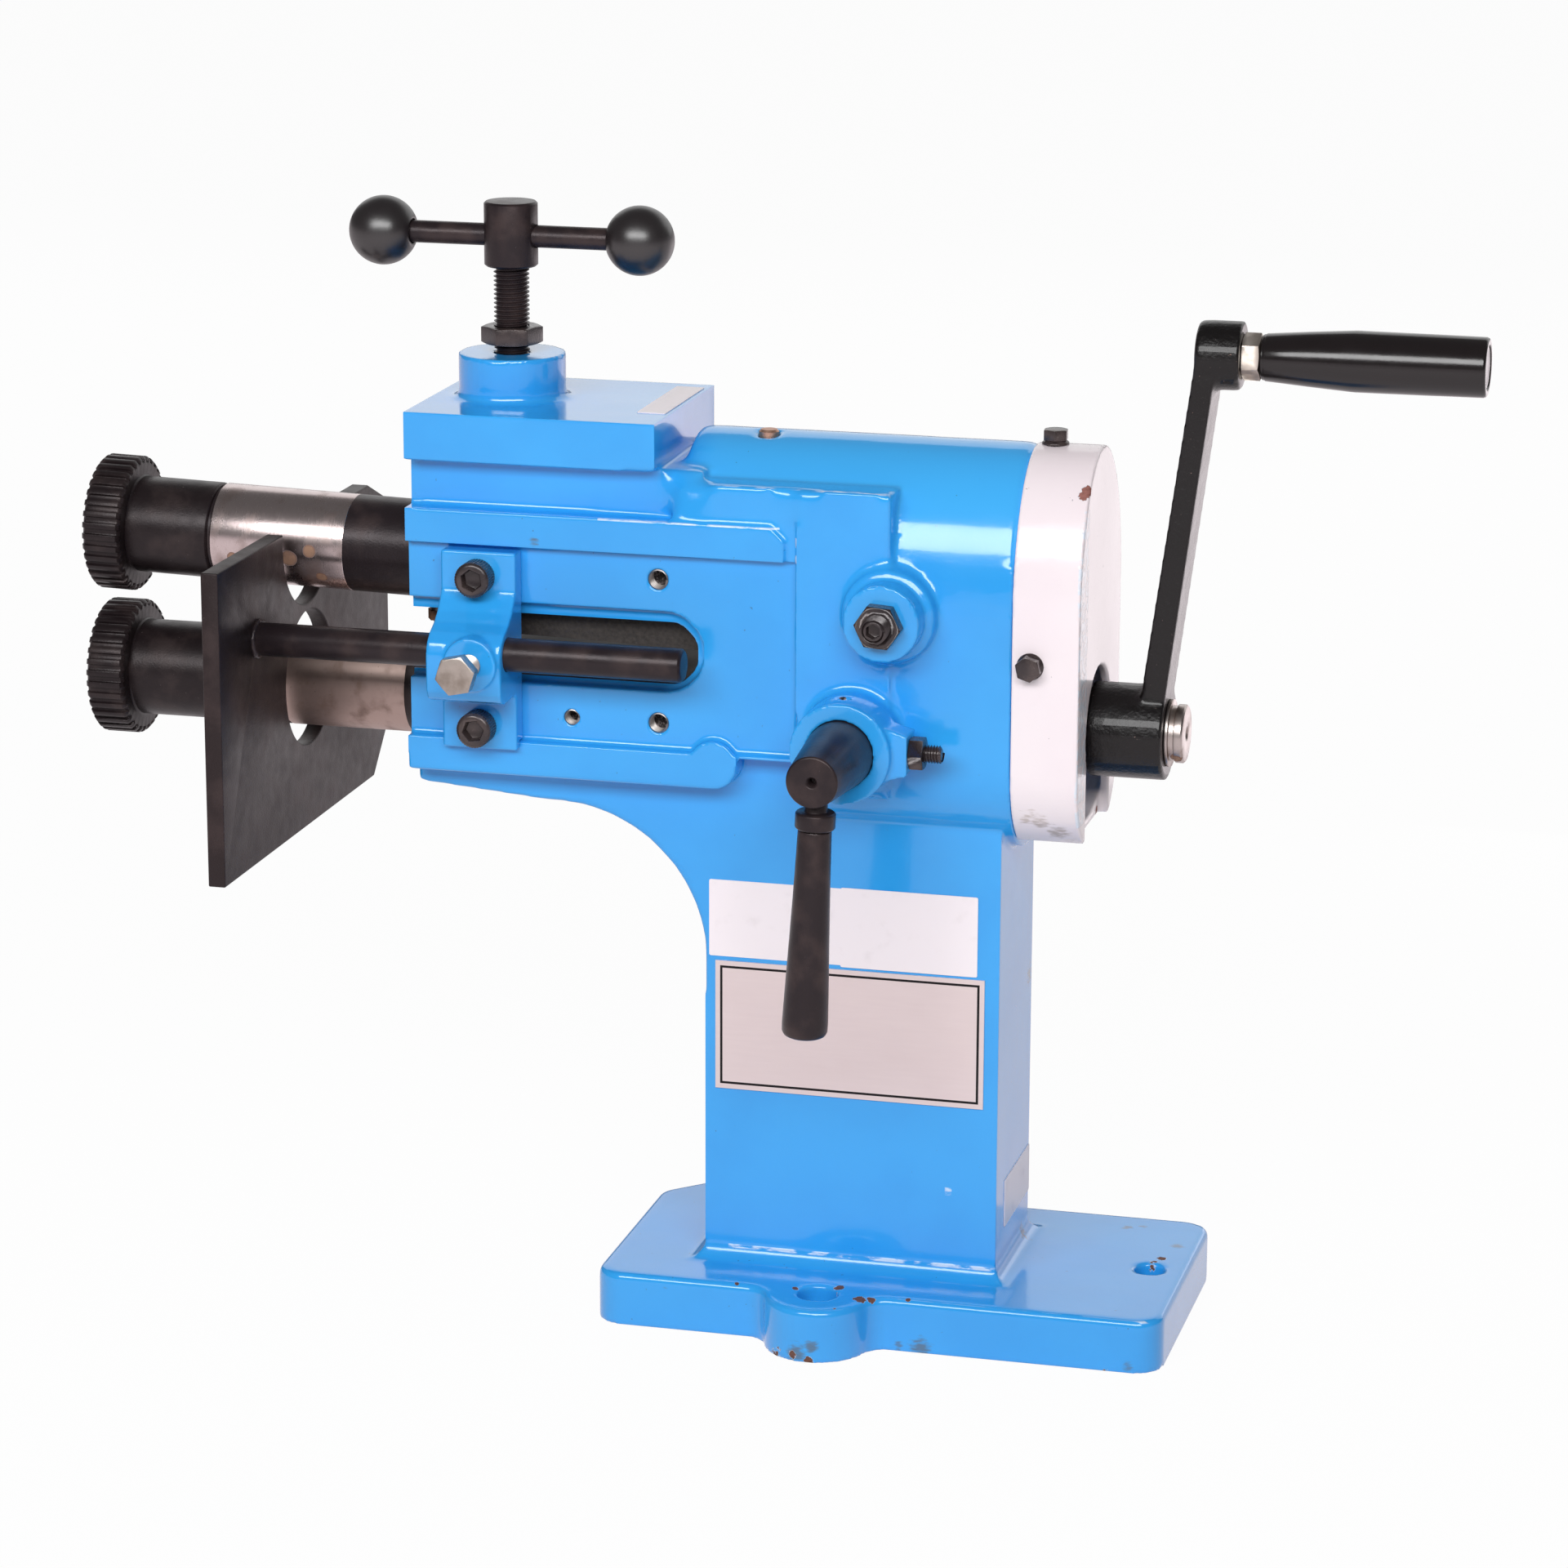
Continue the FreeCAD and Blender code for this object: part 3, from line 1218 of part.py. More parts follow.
def seat_on_handle(piece):
    """Puts a piece on the hanging handle's axis, X downwards from the shaft."""
    seat(piece, D.lever_x, -D.handle_y, D.lower_axis_z, "down")
    piece.setExpression("Placement.Rotation.Angle", (90 + D.handle_lean).text)
    return piece


def lever_handle():
    neck, collar = D.handle_neck_radius, D.handle_collar_radius
    collar_end = D.handle_collar_start + D.handle_collar_length
    thread_end = collar_end + 2 * D.handle_collar_length
    stem = turned("lever_stem", [
        (D.handle_neck_start, neck), (D.handle_collar_start, neck),
        (D.handle_collar_start, collar - 1), (D.handle_collar_start + 1, collar),
        (collar_end - 1, collar), (collar_end, collar - 1), (collar_end, neck - 1),
        (thread_end, neck - 1)])
    grip = turned("lever_grip", [
        (collar_end, D.handle_grip_top), (D.handle_end - 2, D.handle_grip_bottom),
        (D.handle_end, D.handle_grip_bottom - 2)])
    pocket(grip, "YZ_Plane", collar_end, thread_end + D.face_gap,
           disc(0, 0, neck - 1 + D.close_gap))
    return [seat_on_handle(stem), seat_on_handle(grip)]


def lever_set_screw():
    tip = D.lever_x + D.lever_shaft_radius - D.lever_groove_depth + D.face_gap
    body = turned("lever_set_screw", [(tip, D.lever_screw_radius),
                                      (D.lever_screw_end, D.lever_screw_radius)])
    return seat(body, 0, -D.lever_screw_y, D.lower_axis_z)


def lever_set_nut():
    nut = hex_nut("lever_set_nut", D.lever_nut_flats, D.lever_screw_radius + D.close_gap,
                  D.lever_nut_height)
    return seat(nut, D.ear_face_x, -D.lever_screw_y, D.lower_axis_z)


# Depth gauge.


def bracket_middle():
    return (D.bracket_left + D.bracket_right) / 2


def gauge_plate():
    body = new_body("gauge_plate")
    low, high = -D.gauge_left, -D.gauge_left + D.gauge_thickness
    front, back, bottom, top = -D.gauge_front, D.gauge_back, D.gauge_low_z, D.gauge_high_z
    pad(body, "YZ_Plane", low, high,
        polygon((front, bottom), (back - D.gauge_low_cut, bottom),
                (back, bottom + D.gauge_low_cut), (back, top - D.gauge_cut_z),
                (back - D.gauge_cut_y, top), (front, top)))
    for draw in (disc(0, D.lower_axis_z, D.gauge_low_hole),
                 disc(0, D.gauge_notch_z, D.gauge_notch_radius),
                 disc(-D.rod_y, D.rod_z, D.rod_spigot + D.close_gap)):
        pocket(body, "YZ_Plane", low, high, draw)
    return body


def gauge_rod():
    shoulder, end = -D.gauge_left + D.gauge_thickness, -D.rod_right
    body = turned("gauge_rod", [(-D.gauge_left, D.rod_spigot), (shoulder, D.rod_spigot),
                                (shoulder, D.rod_radius), (end - 1, D.rod_radius),
                                (end, D.rod_radius - 1)])
    return seat(body, 0, -D.rod_y, D.rod_z)


def gauge_bracket():
    body = new_body("gauge_bracket")
    low, high = -D.bracket_left, -D.bracket_right
    back, ear = -D.pad_half, -D.pad_half - D.bracket_ear
    front = -D.bracket_front_y
    corner = D.rod_radius
    shelf, rail_face = D.pad_low_z + D.face_gap, -D.rail_half - D.face_gap
    pad(body, "YZ_Plane", low, high,
        polygon((back, shelf), (back, D.bracket_high_z), (ear, D.bracket_high_z),
                (ear, D.bracket_body_high), (front, D.bracket_body_high - corner),
                (front, D.bracket_body_low + corner), (ear, D.bracket_body_low),
                (ear, D.bracket_low_z), (rail_face, D.bracket_low_z), (rail_face, shelf)))
    boss_low, boss_high = span(FRONT, D.rod_y, D.bracket_boss_y)
    pad(body, "XZ_Plane", boss_low, boss_high,
        disc(-D.clamp_bolt_x, D.clamp_bolt_z, D.bracket_boss_radius))
    pocket(body, "YZ_Plane", low, high,
           disc(-D.rod_y, D.rod_z, D.rod_radius + D.running_gap))
    pocket(body, "XZ_Plane", boss_low, boss_high,
           disc(-D.clamp_bolt_x, D.clamp_bolt_z, D.clamp_bolt_radius + D.running_gap))
    for z in (D.bracket_screw_high_z, D.bracket_screw_low_z):
        pocket(body, "XZ_Plane", ear, back,
               disc(-bracket_middle(), z, D.bracket_screw_radius + D.close_gap))
    return body


def bracket_screw(label):
    seat_y = D.pad_half + D.bracket_ear
    head_end = seat_y + D.bracket_head
    body = turned(label, [
        (D.pad_half - D.bracket_screw_grip + D.face_gap, D.bracket_screw_radius),
        (seat_y, D.bracket_screw_radius), (seat_y, D.bracket_head_radius),
        (head_end - 1, D.bracket_head_radius), (head_end, D.bracket_head_radius - 1)])
    pocket(body, "YZ_Plane", head_end - D.bracket_socket_depth, head_end,
           hexagon(D.bracket_socket_flats))
    return body


def bracket_screws():
    return group("bracket_screws", [
        seat(bracket_screw("bracket_screw_" + name), -bracket_middle(), 0, z, "front")
        for name, z in (("high", D.bracket_screw_high_z), ("low", D.bracket_screw_low_z))])


def gauge_clamp_bolt():
    tip = D.rod_y + D.rod_radius + D.close_gap
    head = D.clamp_bolt_head_y
    body = turned("gauge_clamp_bolt", [(tip, D.clamp_bolt_radius), (head, D.clamp_bolt_radius)])
    pad(body, "YZ_Plane", head, head + D.clamp_bolt_head, hexagon(D.clamp_bolt_flats))
    return seat(body, -D.clamp_bolt_x, 0, D.clamp_bolt_z, "front")


# The finished parts, checked before any file is written.


def build():
    singles = [frame_casting(), gear_cover(), cover_screws(), oil_plug(), name_plate(),
               swing_arm(), pivot_screws(), pivot_nuts(), pressure_foot(), clamp_screw(),
               screw_hub(), cross_bar(), ball_knobs(), screw_lock_nut(), crank_arm(),
               grip_nut(), grip_spindle(), crank_grip(), grip_cap(), shift_collar(),
               eccentric_shaft(), lever_set_screw(), lever_set_nut(), gauge_plate(),
               gauge_rod(), gauge_bracket(), bracket_screws(), gauge_clamp_bolt()]
    return (singles + upper_bushes() + lower_bushes() + spring_set() + upper_shaft_pieces()
            + lower_shaft_pieces() + lever_handle())


def check_features():
    """Stops if an object failed, or a cut took nothing away."""
    for item in doc.Objects:
        if "Invalid" in item.State or "Error" in item.State:
            raise RuntimeError(f"{item.Label} is not valid: {item.State}")
        if item.TypeId == "PartDesign::Pocket":
            before, after = item.BaseFeature.Shape.Volume, item.Shape.Volume
            if after > before * (1 - 1e-9):
                raise RuntimeError(f"{item.Label} in {item.getParentGeoFeatureGroup().Label}"
                                   " cuts nothing")


def export(pieces):
    os.makedirs("parts", exist_ok=True)
    for piece in pieces:
        shape = piece.Shape
        if shape.isNull() or not shape.isValid():
            raise RuntimeError(f"{piece.Label} has no valid shape")
    for piece in pieces:
        piece.Shape.exportStep(f"parts/{piece.Label}.step")
        print(piece.Label, len(piece.Shape.Solids), round(piece.Shape.Volume))


parts = build()
doc.recompute()
check_features()
export(parts)
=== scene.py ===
"""Looks of the bead roller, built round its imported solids.

Lengths in the calls are millimetres and become metres in `at` and `MM`. X runs along
the shafts from the forming rolls to the crank, Y to the back and Z up.
"""

import json
import math
import bpy
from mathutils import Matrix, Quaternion, Vector

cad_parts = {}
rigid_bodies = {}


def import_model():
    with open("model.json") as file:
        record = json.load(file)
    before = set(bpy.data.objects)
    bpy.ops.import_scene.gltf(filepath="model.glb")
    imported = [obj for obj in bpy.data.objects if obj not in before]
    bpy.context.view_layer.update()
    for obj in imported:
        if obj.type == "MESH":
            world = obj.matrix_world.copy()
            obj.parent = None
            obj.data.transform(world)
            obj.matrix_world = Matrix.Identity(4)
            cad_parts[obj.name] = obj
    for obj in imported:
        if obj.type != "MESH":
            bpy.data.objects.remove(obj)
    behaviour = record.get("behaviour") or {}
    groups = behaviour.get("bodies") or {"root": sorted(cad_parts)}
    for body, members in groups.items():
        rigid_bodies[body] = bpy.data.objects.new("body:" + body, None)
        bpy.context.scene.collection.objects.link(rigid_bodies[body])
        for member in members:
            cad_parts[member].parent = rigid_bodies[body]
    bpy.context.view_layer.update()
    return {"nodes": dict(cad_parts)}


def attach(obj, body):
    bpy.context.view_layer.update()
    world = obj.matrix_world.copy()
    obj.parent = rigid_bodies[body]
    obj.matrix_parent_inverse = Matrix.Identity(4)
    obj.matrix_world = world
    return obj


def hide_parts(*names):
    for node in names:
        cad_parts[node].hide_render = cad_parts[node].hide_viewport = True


MM = 0.001

bpy.ops.object.select_all(action="SELECT")
bpy.ops.object.delete()
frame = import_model()
nodes = frame["nodes"]


def at(x, y, z):
    """A point given in millimetres."""
    return Vector((x, y, z)) * MM


# Main axes and places, taken from the machine's drawing, in millimetres or radians.
RIGHT = Vector((1, 0, 0))
FRONT, BACK = Vector((0, -1, 0)), Vector((0, 1, 0))
UP = Vector((0, 0, 1))
UPPER_TILT = math.radians(1.65)
UPPER_AXIS = Vector((math.cos(UPPER_TILT), 0, -math.sin(UPPER_TILT)))
PIVOT = at(26, 0, 332.2)
LOWER_Z = 275.3
SCREW_X = -160
LEVER_X, HANDLE_Y = 10, -114
HANDLE_LEAN = math.radians(2.6)
GRIP_Z = 444.5
ROD_Y, ROD_Z = -67, 308.3
CROSS_BAR_Z = 483.3
SET_SCREW_Y = -64
CRANK_FACE_X = 141
COVER_BOLT_X, COVER_BOLT_Z = 88, 313
BRACKET_FACE_Y, BRACKET_SCREW_X = -55, -159.75
HIGH_SCREW_Z, LOW_SCREW_Z = 340, 271.8
CLAMP_BOLT_X, CLAMP_BOLT_Z = -156, 305.5
THREAD_DEPTH = 0.6  # as a share of the pitch


def on_upper(distance):
    """A point on the upper shaft's axis, by its distance from the pivot."""
    return PIVOT + UPPER_AXIS * distance * MM


# Modelling by hand.


def fresh():
    """Leaves object mode on with nothing selected."""
    if bpy.context.object and bpy.context.object.mode != "OBJECT":
        bpy.ops.object.mode_set(mode="OBJECT")
    bpy.ops.object.select_all(action="DESELECT")


def take(piece):
    fresh()
    piece.select_set(True)
    bpy.context.view_layer.objects.active = piece
    return piece


def settle(piece):
    """Puts the piece's place into its mesh, with the object at the origin."""
    take(piece)
    bpy.ops.object.transform_apply(location=True, rotation=True, scale=True)
    return piece


def modify(piece, kind, **settings):
    """Adds a modifier and applies it at once."""
    take(piece)
    modifier = piece.modifiers.new(kind.lower(), kind)
    for name, value in settings.items():
        setattr(modifier, name, value)
    bpy.ops.object.modifier_apply(modifier=modifier.name)
    return piece


def smooth(piece, degrees=35):
    take(piece)
    bpy.ops.object.shade_smooth_by_angle(angle=math.radians(degrees))
    return piece


def soften(piece, width, degrees=30, segments=2):
    """Rounds every edge sharper than the angle, then shades the faces smooth."""
    modify(piece, "BEVEL", width=width * MM, segments=segments, limit_method="ANGLE",
           angle_limit=math.radians(degrees), use_clamp_overlap=True)
    return smooth(piece)


def edit_all(piece=None):
    """Goes into edit mode, of the given piece or the active one, with all selected."""
    if piece:
        take(piece)
    bpy.ops.object.mode_set(mode="EDIT")
    bpy.ops.mesh.select_all(action="SELECT")


def end_edit():
    bpy.ops.object.mode_set(mode="OBJECT")


def face_outwards(inside=False):
    """In edit mode, points every face outwards, or inwards for the lining of a hole."""
    bpy.ops.mesh.select_all(action="SELECT")
    bpy.ops.mesh.normals_make_consistent(inside=inside)


def draw_out(move):
    """In edit mode, extrudes what is selected by a move in metres."""
    bpy.ops.mesh.extrude_region_move(TRANSFORM_OT_translate={
        "value": move, "orient_type": "GLOBAL"})


def pick_faces(piece, chosen):
    """In edit mode, selects the faces that the test picks by centre and normal."""
    bpy.ops.mesh.select_mode(type="FACE")
    bpy.ops.mesh.select_all(action="DESELECT")
    bpy.ops.object.mode_set(mode="OBJECT")
    for face in piece.data.polygons:
        face.select = chosen(face)
    bpy.ops.object.mode_set(mode="EDIT")


def turn(name, profile, sides=96):
    """A disc at the origin drawn out along Z and widened ring by ring as on a lathe."""
    height, radius = profile[0]
    fresh()
    bpy.ops.mesh.primitive_circle_add(vertices=sides, radius=radius * MM, fill_type="NGON",
                                      location=at(0, 0, height))
    piece = bpy.context.object
    piece.name = name
    bpy.ops.object.transform_apply(location=True)
    edit_all()
    for next_height, next_radius in profile[1:]:
        draw_out(at(0, 0, next_height - height))
        ratio = next_radius / radius
        bpy.ops.transform.resize(value=(ratio, ratio, ratio),
                                 center_override=at(0, 0, next_height))
        height, radius = next_height, next_radius
    face_outwards()
    end_edit()
    return piece


def stand(piece, foot, along, spin=0.0):
    """Moves a piece made on the origin's Z axis to its foot, with Z turned along an axis."""
    piece.rotation_mode = "QUATERNION"
    piece.rotation_quaternion = (Vector(along).to_track_quat("Z", "Y")
                                 @ Quaternion((0, 0, 1), math.radians(spin)))
    piece.location = foot
    return settle(piece)


def carve(piece, tool, operation="DIFFERENCE"):
    """Cuts with another piece, or keeps what both share, and removes the tool."""
    modify(piece, "BOOLEAN", operation=operation, object=tool, solver="EXACT")
    bpy.data.objects.remove(tool)
    return piece


def joined(first, *others):
    take(first)
    for other in others:
        other.select_set(True)
    bpy.ops.object.join()
    return first


def copy_of(piece, name):
    """A second piece with a mesh of its own."""
    made = bpy.data.objects.new(name, piece.data.copy())
    bpy.context.scene.collection.objects.link(made)
    return made


def turned_over(piece, name, axis):
    """A copy turned half round an axis through the origin."""
    made = copy_of(piece, name)
    made.rotation_mode = "QUATERNION"
    made.rotation_quaternion = Quaternion(axis, math.pi)
    return settle(made)


def carried_over(node, name):
    """A copy of a solid from the drawing with its loose triangles joined."""
    made = copy_of(nodes[node], name)
    edit_all(made)
    bpy.ops.mesh.remove_doubles(threshold=0.01 * MM)
    end_edit()
    made.data.materials.clear()
    return made


def hexagonal(name, height, flats, bore=0.0, both_ends=True):
    """A hexagon standing on the origin with corners turned off, as on a real nut."""
    corner = flats / math.sqrt(3)
    slope = (corner - flats / 2) * 0.6
    crown, clear = flats / 2 * 0.95, corner * 1.1
    piece = turn(name, [(0, corner), (height, corner)], sides=6)
    outside = turn("turning", [(0, crown if both_ends else clear), (slope, clear),
                               (height - slope, clear), (height, crown)])
    carve(piece, outside, "INTERSECT")
    if bore:
        carve(piece, turn("drill", [(-1, bore), (height + 1, bore)]))
    return soften(piece, 0.15, degrees=20)


def drawn_line(name, points):
    """A chain of edges from point to point, drawn vertex by vertex."""
    fresh()
    bpy.ops.mesh.primitive_plane_add(size=MM, location=at(*points[0]))
    piece = bpy.context.object
    piece.name = name
    bpy.ops.object.transform_apply(location=True)
    bpy.ops.object.mode_set(mode="EDIT")
    bpy.ops.mesh.select_mode(type="VERT")
    bpy.ops.mesh.select_all(action="SELECT")
    bpy.ops.mesh.merge(type="CENTER")
    for start, end in zip(points, points[1:]):
        draw_out((Vector(end) - Vector(start)) * MM)
    end_edit()
    return piece


def thread(name, outer, pitch, length, inner=None):
    """A screw thread from the origin up; with inner it lines a tapped hole instead."""
    root = outer - THREAD_DEPTH * pitch if inner is None else inner
    flanks = (root, 0), (root, 0.12), (outer, 0.44), (outer, 0.56), (root, 0.88), (root, 1)
    piece = drawn_line(name, [(radius, 0, share * pitch) for radius, share in flanks])
    modify(piece, "SCREW", angle=2 * math.pi, steps=32, render_steps=32,
           screw_offset=pitch * MM, iterations=round(length / pitch), axis="Z",
           use_merge_vertices=True, merge_threshold=0.002 * MM, use_normal_calculate=True)
    edit_all()
    bpy.ops.mesh.remove_doubles(threshold=0.005 * MM)
    face_outwards(inside=inner is not None)
    end_edit()
    return smooth(piece, 20)


def threaded_rod(name, radius, pitch, length, end_chamfer=1.0):
    """A threaded stud with a core and a chamfered end."""
    winding = thread(name + "_winding", radius, pitch, length - end_chamfer)
    root = radius - THREAD_DEPTH * pitch
    core = smooth(turn(name, [(0, root), (length - end_chamfer, root + 0.1),
                              (length, root - end_chamfer)]))
    return joined(core, winding)


def raise_teeth(piece, inner, outer, low, high):
    """Draws every second facet of a round piece outwards, so that it has teeth."""
    def chosen(face):
        centre = face.center / MM
        radius = math.hypot(centre.x, centre.y)
        angle = math.atan2(centre.y, centre.x) / math.tau * facets
        on_rim = radius > inner - 1.4 and low < centre.z < high and abs(face.normal.z) < 0.9
        return on_rim and math.floor(angle) % 2 == 0

    facets = sum(1 for face in piece.data.polygons
                 if abs(face.normal.z) < 0.1 and low < face.center.z / MM < high
                 and math.hypot(face.center.x, face.center.y) / MM > inner - 0.5)
    edit_all(piece)
    pick_faces(piece, chosen)
    draw_out((0, 0, 0))
    ratio = outer / inner
    bpy.ops.transform.resize(value=(ratio, ratio, 1), center_override=(0, 0, 0))
    end_edit()
    return piece


# Finishes.


def shade(red, green, blue):
    """A colour as it is seen, from 0 to 255, made linear."""
    def linear(part):
        part = part / 255
        return part / 12.92 if part <= 0.04045 else ((part + 0.055) / 1.055) ** 2.4
    return linear(red), linear(green), linear(blue), 1.0


# Lighter blue painted over the barrel's top: painted light.
PAINTED_LIGHT_BLUE = shade(64, 174, 244)
PIT_SHADE = shade(52, 62, 78)
# Ragged pale lines along creases and edges are painted highlights; the same colour draws a pale
# scratch on the column.
PAINTED_HIGHLIGHT_AND_SCRATCH_SHADE = shade(222, 234, 248)
# Pale rim round each chip: a painted highlight on the torn paint's edge.
CHIP_RIM_HIGHLIGHT = shade(214, 218, 226)


class Wire:
    """A node's output; Python sums on it become Math nodes."""

    def __init__(self, finish, socket):
        self.finish = finish
        self.socket = socket

    def __add__(self, other):
        return self.finish.maths("ADD", self, other)

    def __sub__(self, other):
        return self.finish.maths("SUBTRACT", self, other)

    def __rsub__(self, other):
        return self.finish.maths("SUBTRACT", other, self)

    def __mul__(self, other):
        return self.finish.maths("MULTIPLY", self, other)

    __radd__ = __add__
    __rmul__ = __mul__


class Finish:
    """One procedural surface, in the piece's own coordinates."""

    def __init__(self, name, **fixed):
        self.material = bpy.data.materials.new(name)
        self.material.use_nodes = True
        self.tree = self.material.node_tree
        self.shader = self.tree.nodes["Principled BSDF"]
        for socket, value in fixed.items():
            self.shader.inputs[socket.replace("_", " ")].default_value = value
        self.place = self.node("TexCoord", output="Object")

    def node(self, kind, settings=None, inputs=None, output=0):
        """Adds a node, sets it up, feeds its sockets and gives one of its outputs."""
        made = self.tree.nodes.new("ShaderNode" + kind)
        for name, value in (settings or {}).items():
            setattr(made, name, value)
        for socket, value in (inputs or {}).items():
            self.feed(made.inputs[socket], value)
        return Wire(self, made.outputs[output])

    def feed(self, socket, value):
        if isinstance(value, Wire):
            self.tree.links.new(value.socket, socket)
        else:
            socket.default_value = value

    def maths(self, operation, first, second):
        return self.node("Math", {"operation": operation}, {0: first, 1: second})

    def noise(self, grain, detail=3.0, stretch=(1, 1, 1)):
        """Cloudy pattern from 0 to 1 with patches about `grain` millimetres wide."""
        place = self.node("Mapping", inputs={"Vector": self.place, "Scale": stretch})
        return self.node("TexNoise", inputs={"Vector": place, "Scale": 1 / (grain * MM),
                                             "Detail": detail})

    def rise(self, value, low, high):
        """0 below low and 1 above high, with a soft step between."""
        return self.node("MapRange", {"interpolation_type": "SMOOTHSTEP"},
                         {"Value": value, "From Min": low, "From Max": high})

    def near(self, point, radius, edge=0.35):
        """1 within a radius of a point, given in millimetres, and 0 outside it."""
        gap = self.node("VectorMath", {"operation": "DISTANCE"},
                        {0: self.place, 1: Vector(point) * MM}, output="Value")
        return 1 - self.rise(gap, radius * (1 - edge) * MM, radius * MM)

    def any_of(self, masks):
        total = masks[0]
        for mask in masks[1:]:
            total = self.maths("MAXIMUM", total, mask)
        return total

    def between(self, letter, low, high, edge=0.3):
        """1 where a coordinate lies between two values, given in millimetres."""
        place = self.axis(letter)
        return (self.rise(place, (low - edge) * MM, (low + edge) * MM)
                * (1 - self.rise(place, (high - edge) * MM, (high + edge) * MM)))

    def inside(self, low, high, edge=0.3):
        """1 inside a box between two corners, given in millimetres."""
        mask = self.between("X", low[0], high[0], edge)
        mask = mask * self.between("Y", low[1], high[1], edge)
        return mask * self.between("Z", low[2], high[2], edge)

    def mix(self, mask, first, second):
        """A colour between two, first where the mask is 0."""
        return self.node("Mix", {"data_type": "RGBA"}, {0: mask, 6: first, 7: second},
                         output=2)

    def axis(self, letter):
        """Distance along one axis, in metres."""
        return self.node("SeparateXYZ", inputs={0: self.place}, output=letter)

    def paint(self, color=None, roughness=None, metallic=None, coat=None, height=None,
              depth=0.3):
        """Feeds what changes over the surface; depth is the relief in millimetres."""
        for socket, value in (("Base Color", color), ("Roughness", roughness),
                              ("Metallic", metallic), ("Coat Weight", coat)):
            if value is not None:
                self.feed(self.shader.inputs[socket], value)
        if height is not None:
            normal = self.node("Bump", inputs={"Strength": 1.0, "Distance": depth * MM,
                                               "Height": height})
            self.feed(self.shader.inputs["Normal"], normal)
        return self.material


def spots(finish, places, edge):
    """1 in the middle of each (point, radius), fading over the edge's share of the radius."""
    return finish.any_of([finish.near(point, radius, edge) for point, radius in places])


def boxes(finish, corners):
    """1 inside each box between two corners."""
    return finish.any_of([finish.inside(low, high) for low, high in corners])


def darken_hollows_colour_holes(finish, color, hollows, holes):
    """Paints the hollows darker and the drilled holes as bare metal, and gives the colour and
    their mask.
    """
    hollow = boxes(finish, hollows)
    hollow_dark = finish.mix(finish.noise(2.2, 5), shade(20, 17, 18), shade(58, 50, 46))
    color = finish.mix(hollow, color, hollow_dark)
    drilled = spots(finish, holes, 0.1)
    swarf = finish.mix(finish.rise(finish.noise(1.1, 4), 0.45, 0.7), shade(40, 32, 30),
                       shade(150, 138, 136))
    return finish.mix(drilled, color, swarf), finish.any_of([hollow, drilled])


def enamel(name, paint, deep, grime, chips, under, smudges, highlights_and_scratch, coat=0.45, pale=(),
           hollows=(), holes=()):
    """Gloss paint on a casting: chipped to the iron, smudged, darker inside the hollows and bare
    in the drilled holes.

    Inside the boxes of `highlights_and_scratch` it has ragged pale lines, painted highlights
    along the creases and edges, and on the blue paint a pale scratch; inside `pale` it is painted
    lighter, as painted light.
    """
    finish = Finish(name, Specular_IOR_Level=0.5, Coat_Roughness=0.05)
    color = finish.mix(finish.rise(finish.noise(60, 4), 0.35, 0.7) * 0.5, paint, deep)
    # Inside `pale` the paint is made lighter: painted light.
    for low, high in pale:
        color = finish.mix(finish.inside(low, high, 7), color, PAINTED_LIGHT_BLUE)
    pits = finish.rise(finish.noise(2.4, 2), 0.76, 0.78)
    color = finish.mix(pits * 0.5, color, PIT_SHADE)
    streaks = finish.noise(1.9, 5, (0.45, 1, 1.4))
    dirty = finish.rise(spots(finish, smudges, 0.95) * 0.6 + streaks, 0.7, 1.15)
    color = finish.mix(dirty * 0.75, color, grime)
    # Painted highlights: ragged pale lines inside the boxes along creases and edges; on the blue
    # one box is a pale scratch.
    glint_breaks = finish.rise(finish.noise(4, 4, (0.4, 1, 1)), 0.42, 0.56)
    bright = boxes(finish, highlights_and_scratch) * glint_breaks
    color = finish.mix(bright * 0.8, color, PAINTED_HIGHLIGHT_AND_SCRATCH_SHADE)
    chip = spots(finish, chips, 0.85) * 0.8 + finish.noise(1.7, 5)
    # A pale rim round each chip: painted highlight on the torn edge.
    color = finish.mix(finish.rise(chip, 0.9, 0.94) * 0.55, color, CHIP_RIM_HIGHLIGHT)
    chipped = finish.rise(chip, 0.97, 1.0)
    color = finish.mix(chipped, color, under(finish))
    bare = chipped
    if hollows:
        color, hollow_and_hole_mask = darken_hollows_colour_holes(finish, color, hollows, holes)
        bare = finish.any_of([chipped, hollow_and_hole_mask])
    waves, runs, skin = finish.noise(30, 2), finish.noise(9, 3), finish.noise(1.7, 2)
    height = waves * 0.4 + runs * 0.12 + skin * 0.05 + bright * 0.3 - chipped * 0.35
    roughness = finish.rise(finish.noise(35, 3), 0.3, 0.9) * 0.08 + bare * 0.55 + 0.14
    return finish.paint(color, roughness, None, coat - bare * coat, height, 0.5)


def rust(finish):
    return finish.mix(finish.noise(1.3, 4), shade(52, 32, 30), shade(140, 92, 74))


def primer(finish):
    return finish.mix(finish.noise(1.4, 4), shade(96, 54, 48), shade(176, 116, 106))


def oxide(name, tone, haze, gloss, marks=0.3, relief=0.06, shine=0.35):
    """Oiled black oxide with brown haze, fine scratches and pale rubbed spots."""
    finish = Finish(name, Metallic=0.3, Specular_IOR_Level=shine)
    cloud = finish.rise(finish.noise(14, 5), 0.42, 0.72)
    color = finish.mix(cloud, tone, haze)
    rubbed = finish.rise(finish.noise(1.1, 5), 0.7, 0.82) * marks
    color = finish.mix(rubbed, color, shade(150, 142, 138))
    grain = finish.noise(0.9, 3)
    roughness = finish.noise(7, 4) * 0.25 + gloss
    return finish.paint(color, roughness, None, None, grain + cloud * 0.4, relief)


